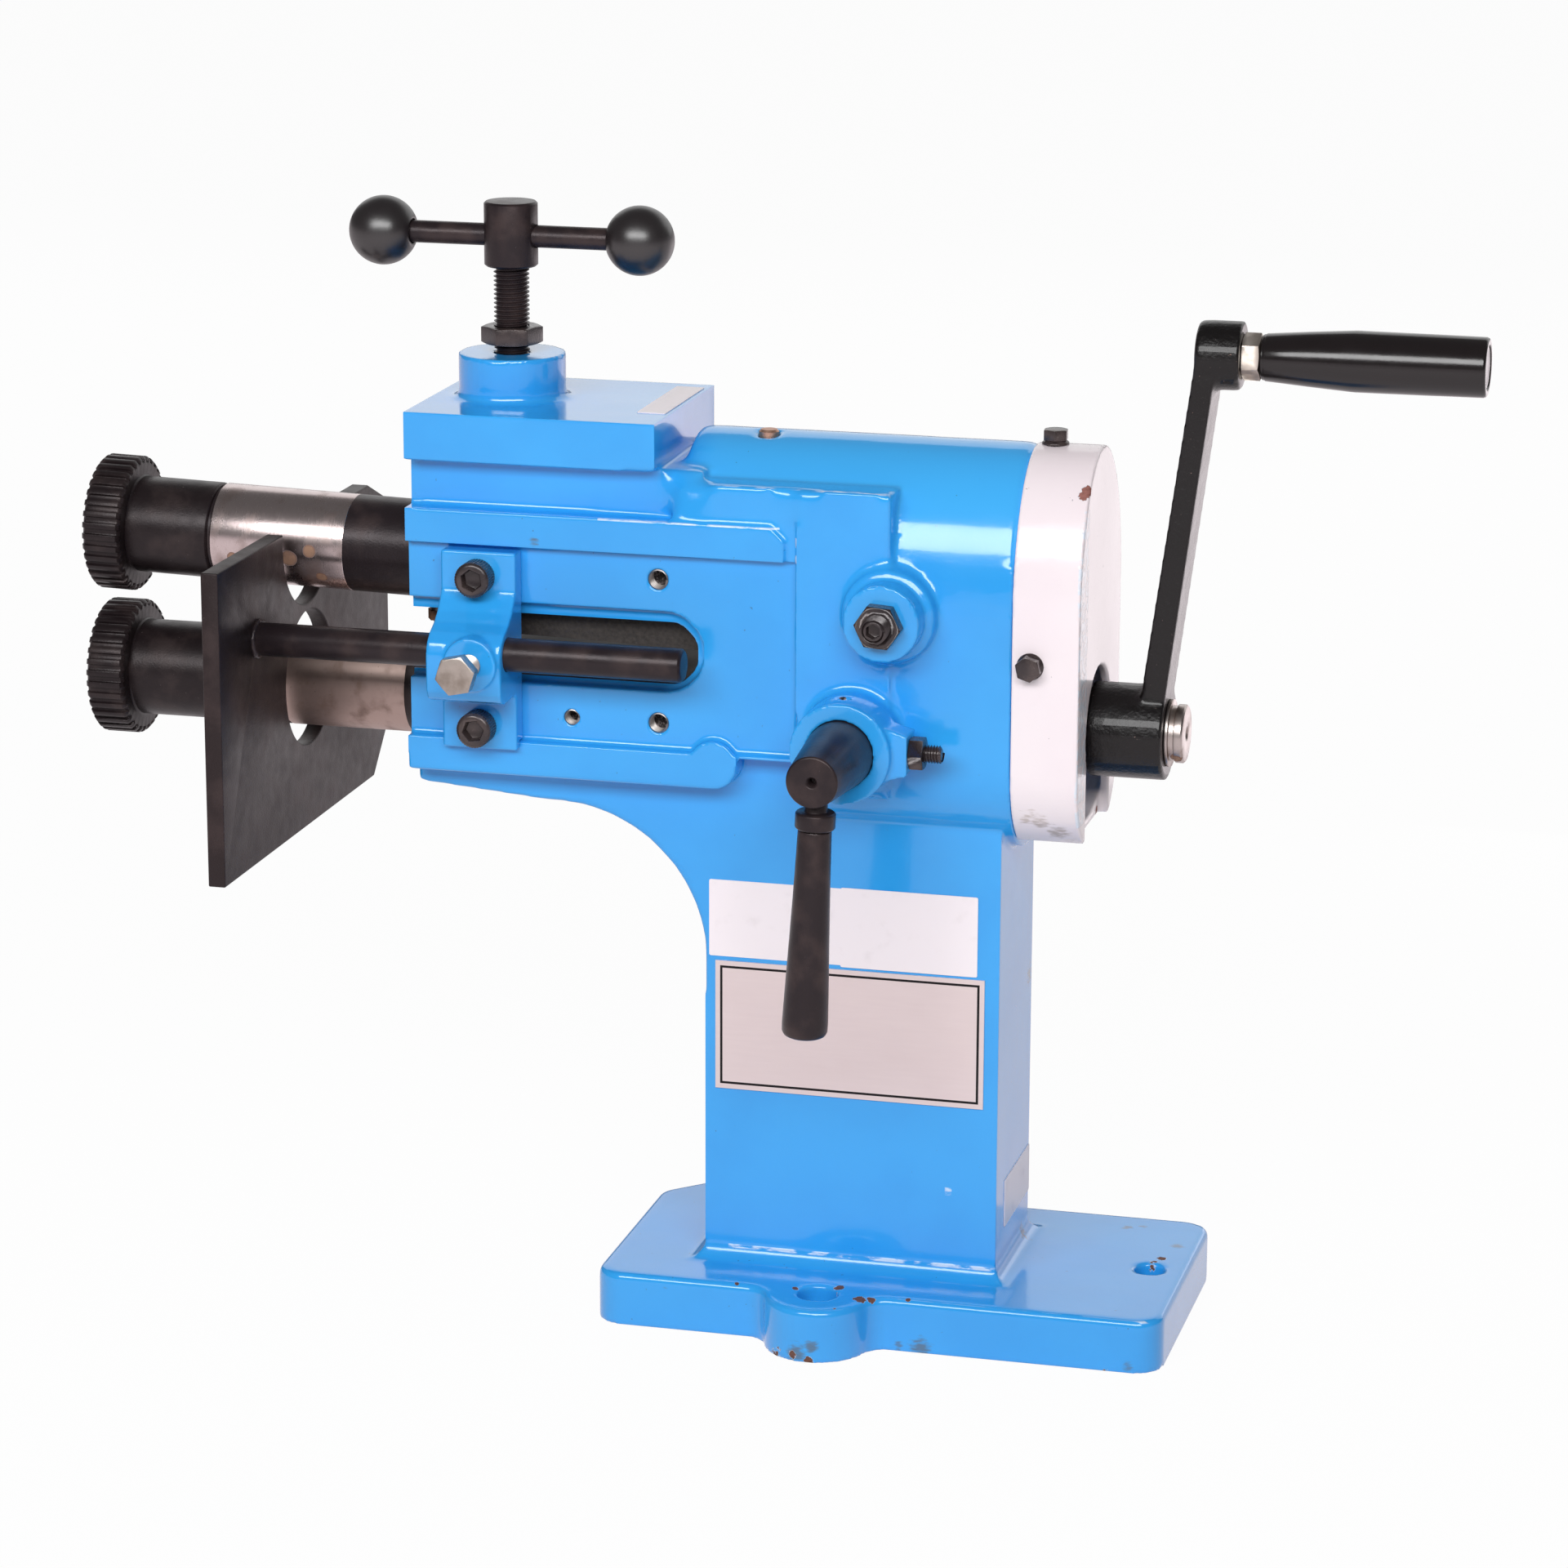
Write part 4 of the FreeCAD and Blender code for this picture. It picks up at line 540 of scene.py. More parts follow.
def bright_steel(name, tone, stain, rusty=(), ringed=False, gloss=0.2):
    """Ground steel with light stains, rust spots and, if ringed, marks round the X axis."""
    finish = Finish(name, Metallic=1.0)
    rings = finish.noise(3.2, 3, (14, 1, 1) if ringed else (1, 1, 1))
    cloud = finish.rise(finish.noise(11, 5), 0.45, 0.75)
    color = finish.mix(cloud * 0.75, tone, stain)
    pits = finish.rise(finish.noise(0.8, 4), 0.68, 0.76)
    color = finish.mix(pits * 0.5, color, shade(70, 52, 42))
    roughness = rings * 0.16 + cloud * 0.14 + gloss
    metallic = None
    if rusty:
        zone = spots(finish, rusty, 0.5) + finish.noise(2.5, 3) * 0.5
        spotted = finish.rise(zone, 0.75, 0.95)
        middle = finish.rise(zone, 1.05, 1.3)
        color = finish.mix(spotted * 0.8, color, shade(122, 78, 52))
        color = finish.mix(middle * 0.7, color, shade(176, 138, 112))
        roughness = roughness + spotted * 0.3
        metallic = 1 - spotted * 0.6
    return finish.paint(color, roughness, metallic, None, rings + pits * 0.4, 0.012)


def moulded(name, tone, gloss, shine):
    """Black moulded plastic, polished, with a faint skin."""
    finish = Finish(name, Specular_IOR_Level=shine)
    cloud = finish.noise(18, 4)
    color = finish.mix(cloud, tone, [part * 1.5 for part in tone[:3]] + [1.0])
    dust = finish.rise(finish.noise(1.3, 5), 0.73, 0.8)
    color = finish.mix(dust * 0.25, color, shade(150, 145, 142))
    roughness = finish.noise(9, 4) * 0.12 + gloss
    return finish.paint(color, roughness, None, None, finish.noise(1.4, 2), 0.02)


def black_casting():
    """Black lacquer over a pitted casting."""
    finish = Finish("black_lacquered_casting", Specular_IOR_Level=0.25)
    pits = finish.noise(2.6, 4)
    lumps = finish.noise(7, 3)
    worn = finish.rise(finish.noise(1.8, 5), 0.7, 0.78)
    color = finish.mix(worn * 0.3, shade(12, 8, 9), shade(128, 110, 106))
    chips = finish.rise(finish.noise(2.2, 3), 0.735, 0.75)
    color = finish.mix(chips * 0.7, color, shade(150, 120, 112))
    roughness = finish.noise(12, 3) * 0.16 + chips * 0.2 + 0.3
    height = pits * 0.6 + lumps * 0.8 + finish.noise(1.1, 2) * 0.25
    return finish.paint(color, roughness, None, 0.35, height, 0.55)


def grained(name, metallic, grain, tones, roughness, relief, clouds=None, shine=0.5):
    """A surface whose grain sets colour and relief, with a gloss that may change in clouds."""
    finish = Finish(name, Metallic=metallic, Specular_IOR_Level=shine)
    pattern = finish.noise(*grain)
    color = finish.mix(pattern, *tones)
    gloss = finish.noise(*clouds) if clouds else pattern
    change, least = roughness
    return finish.paint(color, gloss * change + least, None, None, pattern, relief)


def paper():
    """A white label, a little creased and dirty."""
    finish = Finish("white_label", Specular_IOR_Level=0.4)
    dirt = finish.rise(finish.noise(9, 5), 0.55, 0.8)
    color = finish.mix(dirt * 0.25, shade(246, 236, 240), shade(216, 204, 206))
    creases = finish.noise(16, 2, (1, 1, 3))
    return finish.paint(color, dirt * 0.2 + 0.32, None, None, creases, 0.12)


def plate_metal(name, centre, half_width, half_height, line):
    """A satin plate in the XZ plane, with a printed line round its edge."""
    finish = Finish(name, Metallic=0.55, Specular_IOR_Level=0.5)
    brushed = finish.noise(1.6, 3, (0.08, 1, 1))
    cloud = finish.noise(22, 3)
    color = finish.mix(brushed * 0.5 + cloud * 0.3, shade(226, 209, 209),
                       shade(240, 225, 224))
    across = finish.maths("ABSOLUTE", finish.axis("X") - centre[0] * MM, 0)
    along = finish.maths("ABSOLUTE", finish.axis("Z") - centre[1] * MM, 0)
    inset = finish.maths("MINIMUM", half_width * MM - across, half_height * MM - along)
    start, thick = line
    inked = (finish.rise(inset, (start - 0.05) * MM, (start + 0.05) * MM)
             * (1 - finish.rise(inset, (start + thick - 0.05) * MM,
                                (start + thick + 0.05) * MM)))
    color = finish.mix(inked, color, shade(20, 18, 20))
    return finish.paint(color, brushed * 0.2 + 0.38, None, None, brushed, 0.01)


# Marks on the paint, painted highlights, painted light and darker hollows: each a point and a
# radius, or the two corners of a box.
BLUE_CHIPS = [
    ((5, -66, 24), 6), ((8, -60, 24), 4.5), ((-11, -66, 24), 3), ((-4, -68, 23), 3),
    ((20, -72, 24), 5.5), ((25, -70, 24), 3.5), ((12, -86, 23), 2.6), ((41, -66, 24), 2.4),
    ((-16, -91, 1), 8), ((-6, -93, 3), 4), ((2, -92, 1), 4), ((131, -66, 0), 4),
    ((-38, -66, 24), 2), ((-29, -72, 24), 2.6), ((138, 9, 22), 5), ((141, 14, 24), 4),
    ((-78, -30, 398), 2.6), ((-76, -38, 392), 2), ((-74, -22, 402), 2.2)]
BLUE_SMUDGES = [
    ((-4, -92, 4), 9), ((3, -93, 8), 6), ((47, -68, 3), 9), ((37, -68, 3), 4),
    ((141, -66, 3), 6), ((118, 51, 24), 5), ((125, 54, 24), 4), ((145, 32, 24), 6),
    ((-70, -73, 20), 8), ((-56, -76, 19), 8), ((-45, -77, 19), 7), ((-135, -50, 356), 4),
    ((76, 20, 30), 8), ((76, 30, 150), 10)]
# Boxes of painted highlight along creases and edges, then a pale scratch on the column.
COLUMN_FOOT_HIGHLIGHT = ((-50, -38, 29.8), (74, -35.5, 31.4))
BASE_EDGE_HIGHLIGHT = ((24, -66.4, 23.2), (150, -64.8, 24))
PAD_EDGE_HIGHLIGHT = ((-70, -49, 384.9), (26, -46.5, 385.7))
HIGH_RAIL_HIGHLIGHT = ((-106, -51, 367.2), (-24, -48, 368))
PAD_SEAM_HIGHLIGHT = ((-16.8, -50.5, 268), (-16, -46, 364))
SCRATCH = ((50.5, -36.6, 64), (53.6, -35.5, 67.6))
# The barrel's top, painted lighter: painted light.
BARREL_TOP = ((-66, -42, 350), (90, 42, 410))
# The throat and the arm's room, painted darker inside.
THROAT = ((-196, -39.6, 256), (-56, 39.6, 331))
ARM_ROOM = ((-196, -32.4, 300), (80, 32.4, 380))
# Drilled holes, bare inside; the last is the oil hole on the lever's boss, which has no depth
# here, so its dark spot is painted shade.
DRILLED_HOLES = [((-80, -38.5, 341), 5.4), ((-80, -38.5, 276), 5.4), ((-120, -38.5, 276), 4.8),
                 ((8.4, -63, 297.8), 1.9)]
COVER_CHIPS = [
    ((108.5, -30, 388.6), 5.5), ((107, -31, 386), 4.5), ((108, -29, 392), 4),
    ((109, 32, 384), 2.6), ((109, 44, 365), 3), ((106, -16, 234), 4), ((98, -18, 230), 4),
    ((104, 20, 232), 5)]
COVER_SMUDGES = [
    ((92, -40, 243), 9), ((88, -41, 247), 7), ((100, -36, 238), 10), ((104, -30, 236), 9),
    ((91, -36, 396), 3), ((109, 33, 384), 8), ((109, 44, 365), 8), ((86, -44, 240), 8)]
# A box of painted highlight along the cover's front right edge.
COVER_EDGE_HIGHLIGHT = ((108.2, -47.6, 240), (109.7, -30, 380))
UPPER_RUST = [
    ((-250.2, -21, 339.1), 4.4), ((-260.2, -21, 335.2), 5.4), ((-257.2, -21, 360.2), 4.6),
    ((-287.6, -21, 334.2), 3.4), ((-272, -12, 356), 3.0), ((-246, -18, 326), 4.0),
    ((-240, 8, 358), 4.0), ((-281, 14, 352), 4.5)]

blue = enamel(
    "blue_gloss_enamel", shade(50, 165, 240), shade(40, 151, 229), shade(84, 92, 92),
    BLUE_CHIPS, rust, BLUE_SMUDGES,
    [COLUMN_FOOT_HIGHLIGHT, BASE_EDGE_HIGHLIGHT, PAD_EDGE_HIGHLIGHT, HIGH_RAIL_HIGHLIGHT, PAD_SEAM_HIGHLIGHT, SCRATCH],
    pale=[BARREL_TOP], hollows=[THROAT, ARM_ROOM], holes=DRILLED_HOLES)
white = enamel(
    "ivory_gloss_enamel", shade(243, 232, 236), shade(238, 224, 230), shade(172, 154, 142),
    COVER_CHIPS, primer, COVER_SMUDGES, [COVER_EDGE_HIGHLIGHT], coat=0.15)
black_steel = oxide("black_oxide_steel", shade(42, 34, 37), shade(62, 50, 50), 0.22)
black_rolls = oxide("black_oxide_rolls", shade(36, 28, 30), shade(56, 46, 46), 0.24, 0.8)
black_scale = oxide("black_mill_scale", shade(42, 32, 33), shade(58, 46, 46), 0.3, 0.25, 0.1)
black_fixings = oxide("black_fixings", shade(50, 42, 44), shade(80, 68, 66), 0.14, 0.6,
                      shine=0.7)
upper_polish = bright_steel(
    "polished_upper_sleeve", shade(204, 189, 188), shade(150, 130, 124), UPPER_RUST, True, 0.16)
lower_polish = bright_steel(
    "polished_lower_sleeve", shade(180, 158, 150), shade(128, 106, 96),
    [((-226, 12, 290), 5.0)], True, 0.36)
turned_steel = bright_steel("turned_steel", shade(150, 145, 142), shade(108, 98, 92),
                            gloss=0.28)
shaft_end = bright_steel("bright_shaft_end", shade(190, 180, 176), shade(112, 88, 74),
                         [((146, -8, 267), 4)], gloss=0.24)
zinc = bright_steel("zinc_plated", shade(190, 180, 172), shade(140, 128, 118), gloss=0.3)
knob_black = moulded("black_knob_plastic", shade(22, 16, 18), 0.28, 1.0)
grip_black = moulded("black_grip_plastic", shade(20, 15, 16), 0.12, 0.55)
lacquer = black_casting()
dark_casting = grained("dark_oily_casting", 0.2, (1.7, 5), (shade(28, 27, 28), shade(74, 68, 64)),
                       (0.3, 0.4), 0.25, (6, 3), 0.4)
brown = grained("brown_rust", 0.1, (1.4, 5), (shade(58, 40, 32), shade(142, 96, 66)),
                (0.2, 0.6), 0.12, (3, 3))
label_white = paper()
plate_silver = plate_metal("satin_name_plate", (5.75, 136), 61.75, 30, (2.2, 1.1))
copper_red = grained("dull_copper", 0.9, (1.2, 4), (shade(176, 124, 100), shade(222, 184, 164)),
                     (0.2, 0.35), 0.03)
bronze_gold = grained("plain_bronze", 1.0, (3, 4), (shade(142, 108, 58), shade(190, 152, 92)),
                      (0.2, 0.3), 0.02)


# Pieces.


def fit(piece, finish, body, slot, *stands_for):
    """Gives a piece its finish, its body and the solids that it stands for."""
    piece.data.materials.clear()
    piece.data.materials.append(finish)
    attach(piece, body)
    if stands_for:
        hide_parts(*stands_for)
    return piece


def box_crease(low, high, reach):
    """A crease to fill inside a box: the test for its points, and how far the iron flows."""
    def chosen(x, y, z):
        return all(a <= part <= b for a, part, b in zip(low, (x, y, z), high))
    return chosen, reach


def boss_crease(centre, near, far, front, back, reach):
    """A crease to fill round the foot of a boss that stands out to the front."""
    def chosen(x, y, z):
        return (near <= math.hypot(x - centre[0], z - centre[1]) <= far
                and front <= y <= back)
    return chosen, reach


def melt(piece, reach, grain, **zone):
    """Smooths a voxel skin until its corners are rounded by about the reach."""
    modify(piece, "SMOOTH", factor=0.5, iterations=round(4 * (reach / grain) ** 2), **zone)


def as_cast(piece, grain, rounding, most_triangles, creases=()):
    """Makes one skin of a piece, as the foundry leaves it: worn corners and filled creases."""
    modify(piece, "REMESH", mode="VOXEL", voxel_size=grain * MM, use_smooth_shade=True)
    for chosen, reach in creases:
        group = piece.vertex_groups.new(name="crease")
        group.add([point.index for point in piece.data.vertices if chosen(*point.co / MM)],
                  1.0, "ADD")
        melt(piece, reach, grain, vertex_group="crease")
        piece.vertex_groups.clear()
    melt(piece, rounding, grain)
    triangles = sum(len(face.vertices) - 2 for face in piece.data.polygons)
    if triangles > most_triangles:
        modify(piece, "DECIMATE", ratio=most_triangles / triangles)
    return smooth(piece, 60)


def frame_and_cover():
    casting = as_cast(carried_over("frame_casting", "blue_casting"), 1.0, 0.9, 195000, [
        box_crease((30, -50, 356), (82, 50, 404), 5),
        box_crease((-78, -50, 388), (30, 50, 404), 3),
        box_crease((-112, -50, 369.2), (-54, -38, 388.8), 12),
        box_crease((-28, -51, 370), (-4, -46.5, 389), 5),
        box_crease((20, -52, 345), (36, -42, 389), 3.5),
        box_crease((-130, -100, 19), (150, 100, 26), 1.8),
        box_crease((-196, -37.5, 150), (-56, 37.5, 247), 2.8),
        box_crease((-196, -51, 246), (-30, -38, 256), 1.8),
        box_crease((-190, -30, 408), (-130, 30, 418), 3.2),
        box_crease((-79, -50, 386), (-62, 50, 408), 3.6),
        box_crease((-95, -53, 382), (-30, -41, 391), 2.6),
        boss_crease((26, 332), 18.5, 27, -58, -46.5, 2.8),
        boss_crease((10, 275.3), 21, 28, -58, -44, 2.8),
        box_crease((-20, -49, 268), (-12, -40, 352), 1.8),
        box_crease((-190, -51, 366), (-24, -40, 370), 1.6),
    ])
    fit(casting, blue, "frame", "blue_enamel", "frame_casting")
    cover = as_cast(carried_over("gear_cover", "ivory_cover"), 1.0, 0.8, 90000)
    fit(cover, white, "frame", "white_enamel", "gear_cover")


def drawn_out(name, left, right, outline):
    """A bar along X whose section is drawn vertex by vertex in Y and Z."""
    piece = drawn_line(name, [(left, y, z) for y, z in outline])
    edit_all()
    bpy.ops.mesh.edge_face_add()
    draw_out(at(right - left, 0, 0))
    face_outwards()
    end_edit()
    return piece


def gauge_bracket():
    """The cast clamp of the gauge rod: two ears, a body that swells out and a bolt boss."""
    left, right, foot, ear, lip = -177, -142.5, -45.2, BRACKET_FACE_Y, -50.3
    ears = drawn_out("blue_bracket", left, right, [
        (foot, 264.8), (foot, 351), (ear, 351), (ear, 261.4), (lip, 261.4), (lip, 264.8)])
    body = drawn_out("body", left, right, [
        (ear + 4, 286.5), (-71, 286.5), (-76, 288.5), (-78, 292), (-78, 309), (-76.5, 314),
        (-72, 318), (-66, 321), (-61, 325), (-57, 330), (ear, 333.5), (ear + 4, 333.5)])
    boss = stand(turn("boss", [(0, 12.5), (14, 12)]), at(CLAMP_BOLT_X, -66.5, CLAMP_BOLT_Z),
                 FRONT)
    bracket = as_cast(joined(ears, body, boss), 0.7, 0.9, 60000, [
        boss_crease((CLAMP_BOLT_X, CLAMP_BOLT_Z), 11, 15.5, -79.4, -75, 1.3),
        box_crease((-178, -60, 283), (-141, -50, 290), 1.5),
    ])
    for radius, foot_of_hole, along, length in (
            (7.7, (left - 1, ROD_Y, ROD_Z), RIGHT, right - left + 2),
            (5.2, (BRACKET_SCREW_X, foot + 1, HIGH_SCREW_Z), FRONT, 12),
            (5.2, (BRACKET_SCREW_X, foot + 1, LOW_SCREW_Z), FRONT, 12),
            (5.1, (CLAMP_BOLT_X, -70, CLAMP_BOLT_Z), FRONT, 12)):
        carve(bracket, stand(turn("drill", [(0, radius), (length, radius)], 64),
                             at(*foot_of_hole), along))
    fit(smooth(bracket, 60), blue, "frame", "blue_enamel", "gauge_bracket")


def tapped_holes():
    """Threads in the pad's spare holes."""
    for name, x, z, radius, pitch in (("upper", -80, 341, 4.5, 1.5),
                                      ("lower", -80, 276, 4.5, 1.5),
                                      ("small", -120, 276, 3.6, 1.25)):
        lining = thread("thread_in_%s_hole" % name, radius + 0.2, pitch, 8, radius - 0.6)
        stand(lining, at(x, -36.6, z), FRONT)
        fit(lining, turned_steel, "frame", "rusty_steel")


def forming_roll(name, hub_length):
    """A serrated roll with its hub, left face on the origin and the hub up Z."""
    width, rim, outer, chamfer, hub = 18, 29.4, 31, 1.5, 22
    piece = turn(name, [(6.2, 17.2), (0, 17.3), (0, rim - chamfer), (chamfer, rim),
                        (width - chamfer, rim), (width, rim - chamfer), (width, hub + 0.6),
                        (width + 0.8, hub), (width + hub_length - 0.8, hub),
                        (width + hub_length, hub - 0.8)], sides=72)
    raise_teeth(piece, rim, outer, -0.1, width + 0.1)
    return soften(piece, 0.3, degrees=38)


def rolls_and_sleeves():
    upper = stand(forming_roll("serrated_upper_roll", 39), on_upper(-383), UPPER_AXIS)
    fit(upper, black_rolls, "upper_shaft", "black_rolls", "upper_roll")
    lower = stand(forming_roll("serrated_lower_roll", 73.5), at(-357, 0, LOWER_Z), RIGHT, 2.5)
    fit(lower, black_rolls, "lower_shaft", "black_rolls", "lower_roll")
    for name, length, foot, along, finish, body in (
            ("upper_sleeve", 64, on_upper(-324.5), UPPER_AXIS, upper_polish, "upper_shaft"),
            ("lower_sleeve", 67.8, at(-265.5, 0, LOWER_Z), RIGHT, lower_polish, "lower_shaft")):
        sleeve = soften(turn("ground_" + name, [(0, 21.4), (0.6, 22), (length - 0.3, 22),
                                                (length, 21.7)], sides=128), 0.15)
        fit(stand(sleeve, foot, along), finish, body, "polished_steel", name)
    collar = soften(turn("dark_sleeve_end", [(0, 21.8), (0.3, 22.1), (8.6, 22.1)], 128), 0.1)
    fit(stand(collar, at(-206.4, 0, LOWER_Z), RIGHT), black_rolls, "lower_shaft", "black_rolls")


def clamp():
    low, root = 370.4, 6.8
    core = turn("clamp_screw_thread", [(0, 5), (5.7, 5), (5.7, root), (106.4, root)])
    winding = thread("winding", 8, 2, 98)
    winding.location = at(0, 0, 7.6)
    screw = joined(smooth(core), settle(winding))
    fit(stand(screw, at(SCREW_X, 0, low), UP), black_steel, "clamp_screw", "black_steel",
        "clamp_screw")
    nut = stand(hexagonal("chamfered_lock_nut", 8, 24, 7.9), at(SCREW_X, 0, 435), UP, -14)
    fit(nut, black_fixings, "clamp_screw", "black_screws", "screw_lock_nut")
    hub = turn("cross_bar_hub", [(0, 11), (0.9, 12), (28, 12), (28.9, 11.1)])
    carve(hub, stand(turn("drill", [(-15, 5.3), (15, 5.3)], 48), at(0, 0, 13.6), RIGHT))
    fit(stand(soften(hub, 0.4), at(SCREW_X, 0, 469.7), UP), black_steel, "clamp_screw",
        "black_steel", "screw_hub")
    reach = 54.3
    bar = smooth(turn("turned_cross_bar", [(-reach, 5), (reach, 5)], 64))
    fit(stand(bar, at(SCREW_X, 0, CROSS_BAR_Z), RIGHT), black_steel, "clamp_screw",
        "black_steel", "cross_bar")
    knob = ball_knob("knobs")
    knobs = joined(knob, turned_over(knob, "other_knob", UP))
    fit(stand(knobs, at(SCREW_X, 0, CROSS_BAR_Z), UP), knob_black, "clamp_screw",
        "black_knobs", "ball_knobs")


def ball_knob(name):
    """A ball to the right of the origin with a flat and a ring where the bar goes in."""
    middle, radius, flat, rim, dimple = 59.5, 15.5, 7.0, 1.4, 1.5
    face = middle - math.sqrt(radius ** 2 - flat ** 2)
    fresh()
    bpy.ops.mesh.primitive_uv_sphere_add(segments=64, ring_count=40, radius=radius * MM)
    ball = bpy.context.object
    ball.name = name
    edit_all(stand(ball, at(middle, 0, 0), RIGHT))
    bpy.ops.mesh.bisect(plane_co=at(face, 0, 0), plane_no=RIGHT, clear_inner=True,
                        use_fill=True)
    pick_faces(ball, lambda part: part.normal.x < -0.99)
    bpy.ops.mesh.inset(thickness=rim * MM)
    draw_out(at(dimple, 0, 0))
    end_edit()
    return soften(ball, 0.3, degrees=25)


def pivot_fixings():
    """The set screws that the swing arm turns on, front and rear, with their nuts."""
    pitch, root, length = 1.75, 4.95, 22
    end = turn("screw", [(0, root), (length - 1, root), (length, root - 0.9)])
    carve(end, turn("key", [(length - 5, 3 / math.cos(math.pi / 6)),
                            (length + 1, 3 / math.cos(math.pi / 6))], 6))
    screw = joined(soften(end, 0.15), thread("winding", 6, pitch, length - 1.4))
    stand(screw, at(0, -60, 0), FRONT)
    tip = smooth(turn("tip", [(22, 4), (32, 4), (32, root), (61, root)]))
    screw = joined(screw, stand(tip, at(0, 0, 0), FRONT))
    screws = joined(screw, turned_over(screw, "rear_screw", UP))
    screws.name = "socket_set_screws"
    fit(stand(screws, PIVOT, UP), black_fixings, "frame", "black_screws", "pivot_screws")
    nut = stand(hexagonal("chamfered_pivot_nuts", 7, 18, 5.9), at(0, -68, 0), FRONT, 86)
    nuts = joined(nut, turned_over(nut, "rear_nut", UP))
    fit(stand(nuts, PIVOT, UP), black_fixings, "frame", "black_screws", "pivot_nuts")


def shift_lever():
    shaft = turn("turned_eccentric_shaft", [
        (27, 15), (59.5, 15), (59.5, 12), (68.5, 12), (68.5, 15), (79, 15), (124.3, 11.4),
        (125, 10.7), (125, 2.6), (123.6, 1.5), (119, 1.4)])
    pin = stand(turn("pin", [(15, 4.6), (15.6, 5), (28, 5)]), at(0, -3.5, 0), UP)
    shaft = joined(soften(shaft, 0.3), smooth(pin))
    place = at(LEVER_X, 0, LOWER_Z)
    fit(stand(shaft, place, FRONT), black_steel, "shift_lever", "black_steel",
        "eccentric_shaft")
    hang = Vector((-math.sin(HANDLE_LEAN), 0, -math.cos(HANDLE_LEAN)))
    top = at(LEVER_X, HANDLE_Y, LOWER_Z)
    stem = turn("turned_stem", [(8, 5), (15.3, 5), (15.3, 7.9), (16.1, 8.75), (22.2, 8.75),
                                (23, 7.9), (23, 4), (38, 4)])
    fit(stand(soften(stem, 0.25), top, hang), black_steel, "shift_lever", "black_steel",
        "lever_stem")
    grip = turn("tapered_grip", [(23.1, 6.7), (23.7, 7.3), (45, 7.8), (70, 8.6), (95, 9.5),
                                 (110, 10), (113.6, 9.9), (115.3, 9.1), (116, 7.6)])
    fit(stand(soften(grip, 0.5), top, hang), black_steel, "shift_lever", "black_steel",
        "lever_grip")
    screw = threaded_rod("lever_set_thread", 4, 1.25, 30.7, 0.8)
    fit(stand(screw, at(22.3, SET_SCREW_Y, LOWER_Z), RIGHT), black_fixings, "frame",
        "black_screws", "lever_set_screw")
    nut = stand(hexagonal("chamfered_lever_nut", 6.5, 13, 3.9), at(39, SET_SCREW_Y, LOWER_Z),
                RIGHT, 90)
    fit(nut, black_fixings, "frame", "black_screws", "lever_set_nut")


def gauge():
    plate = soften(carried_over("gauge_plate", "flame_cut_plate"), 0.7, 30, 3)
    fit(plate, black_scale, "gauge", "black_plate", "gauge_plate")
    rod = turn("turned_gauge_rod", [(0, 4.9), (8, 4.9), (8, 7.5), (203.8, 7.5), (205, 6.3)])
    rod = stand(soften(rod, 0.3), at(-267, ROD_Y, ROD_Z), RIGHT)
    fit(rod, black_steel, "gauge", "black_steel", "gauge_rod")
    fit(weld(), black_steel, "gauge", "black_plate")


def weld():
    """A lumpy bead round the foot of the rod."""
    fresh()
    bpy.ops.mesh.primitive_torus_add(major_radius=7.6 * MM, minor_radius=1.3 * MM,
                                     major_segments=96, minor_segments=16,
                                     location=(0, 0, 0))
    bead = bpy.context.object
    bead.name = "weld_bead"
    lumps = bpy.data.textures.new("lumps", "CLOUDS")
    lumps.noise_scale = 2.6 * MM
    modify(bead, "DISPLACE", texture=lumps, strength=1.1 * MM, texture_coords="LOCAL")
    return stand(smooth(bead, 80), at(-258.6, ROD_Y, ROD_Z), RIGHT)


def socket_screw(name):
    """Head of a socket screw standing on the origin, with its grooved rim."""
    head = turn(name, [(0, 7.75), (8.9, 7.75), (9.6, 7.2), (10, 6.3)], sides=80)
    raise_teeth(head, 7.75, 7.95, 0.2, 8.2)
    across = 4 / math.cos(math.pi / 6)
    carve(head, turn("key", [(5, across), (9.2, across), (10.5, across + 1.0)], 6))
    return joined(soften(head, 0.12, degrees=40),
                  smooth(turn("shank", [(-18.5, 4.6), (0.1, 4.6)], 48)))


def bracket_fixings():
    high = stand(socket_screw("grooved_socket_screws"),
                 at(BRACKET_SCREW_X, BRACKET_FACE_Y, HIGH_SCREW_Z), FRONT, 8)
    low = stand(socket_screw("low_screw"),
                at(BRACKET_SCREW_X, BRACKET_FACE_Y, LOW_SCREW_Z), FRONT, 38)
    fit(joined(high, low), black_fixings, "frame", "black_screws", "bracket_screws")
    head = hexagonal("plated_clamp_bolt", 6.4, 16, both_ends=False)
    head = stand(head, at(0, 0, 20.5), UP)
    shank = threaded_rod("shank", 5, 1.5, 20.6)
    bolt = stand(joined(head, shank), at(CLAMP_BOLT_X, -74.5, CLAMP_BOLT_Z), FRONT, -18)
    fit(bolt, zinc, "gauge_bolt", "zinc_steel", "gauge_clamp_bolt")


def flange_bolt(name):
    head = hexagonal(name, 4.6, 10, both_ends=False)
    stand(head, at(0, 0, 1.9), UP)
    flange = soften(turn("flange", [(0, 6), (0.7, 6), (2.1, 4.6)]), 0.15)
    shank = smooth(turn("shank", [(-10.5, 2.9), (0, 2.9)], 32))
    return joined(head, flange, shank)


def cover_bolts():
    half_depth, top_z = 48, 402
    front = stand(flange_bolt("flange_bolts"), at(COVER_BOLT_X, -half_depth, COVER_BOLT_Z),
                  FRONT, 12)
    rear = stand(flange_bolt("rear_bolt"), at(COVER_BOLT_X, half_depth, COVER_BOLT_Z),
                 BACK, 40)
    top = stand(flange_bolt("top_bolt"), at(COVER_BOLT_X, 0, top_z), UP, 5)
    fit(joined(front, rear, top), black_fixings, "frame", "black_screws", "cover_screws")


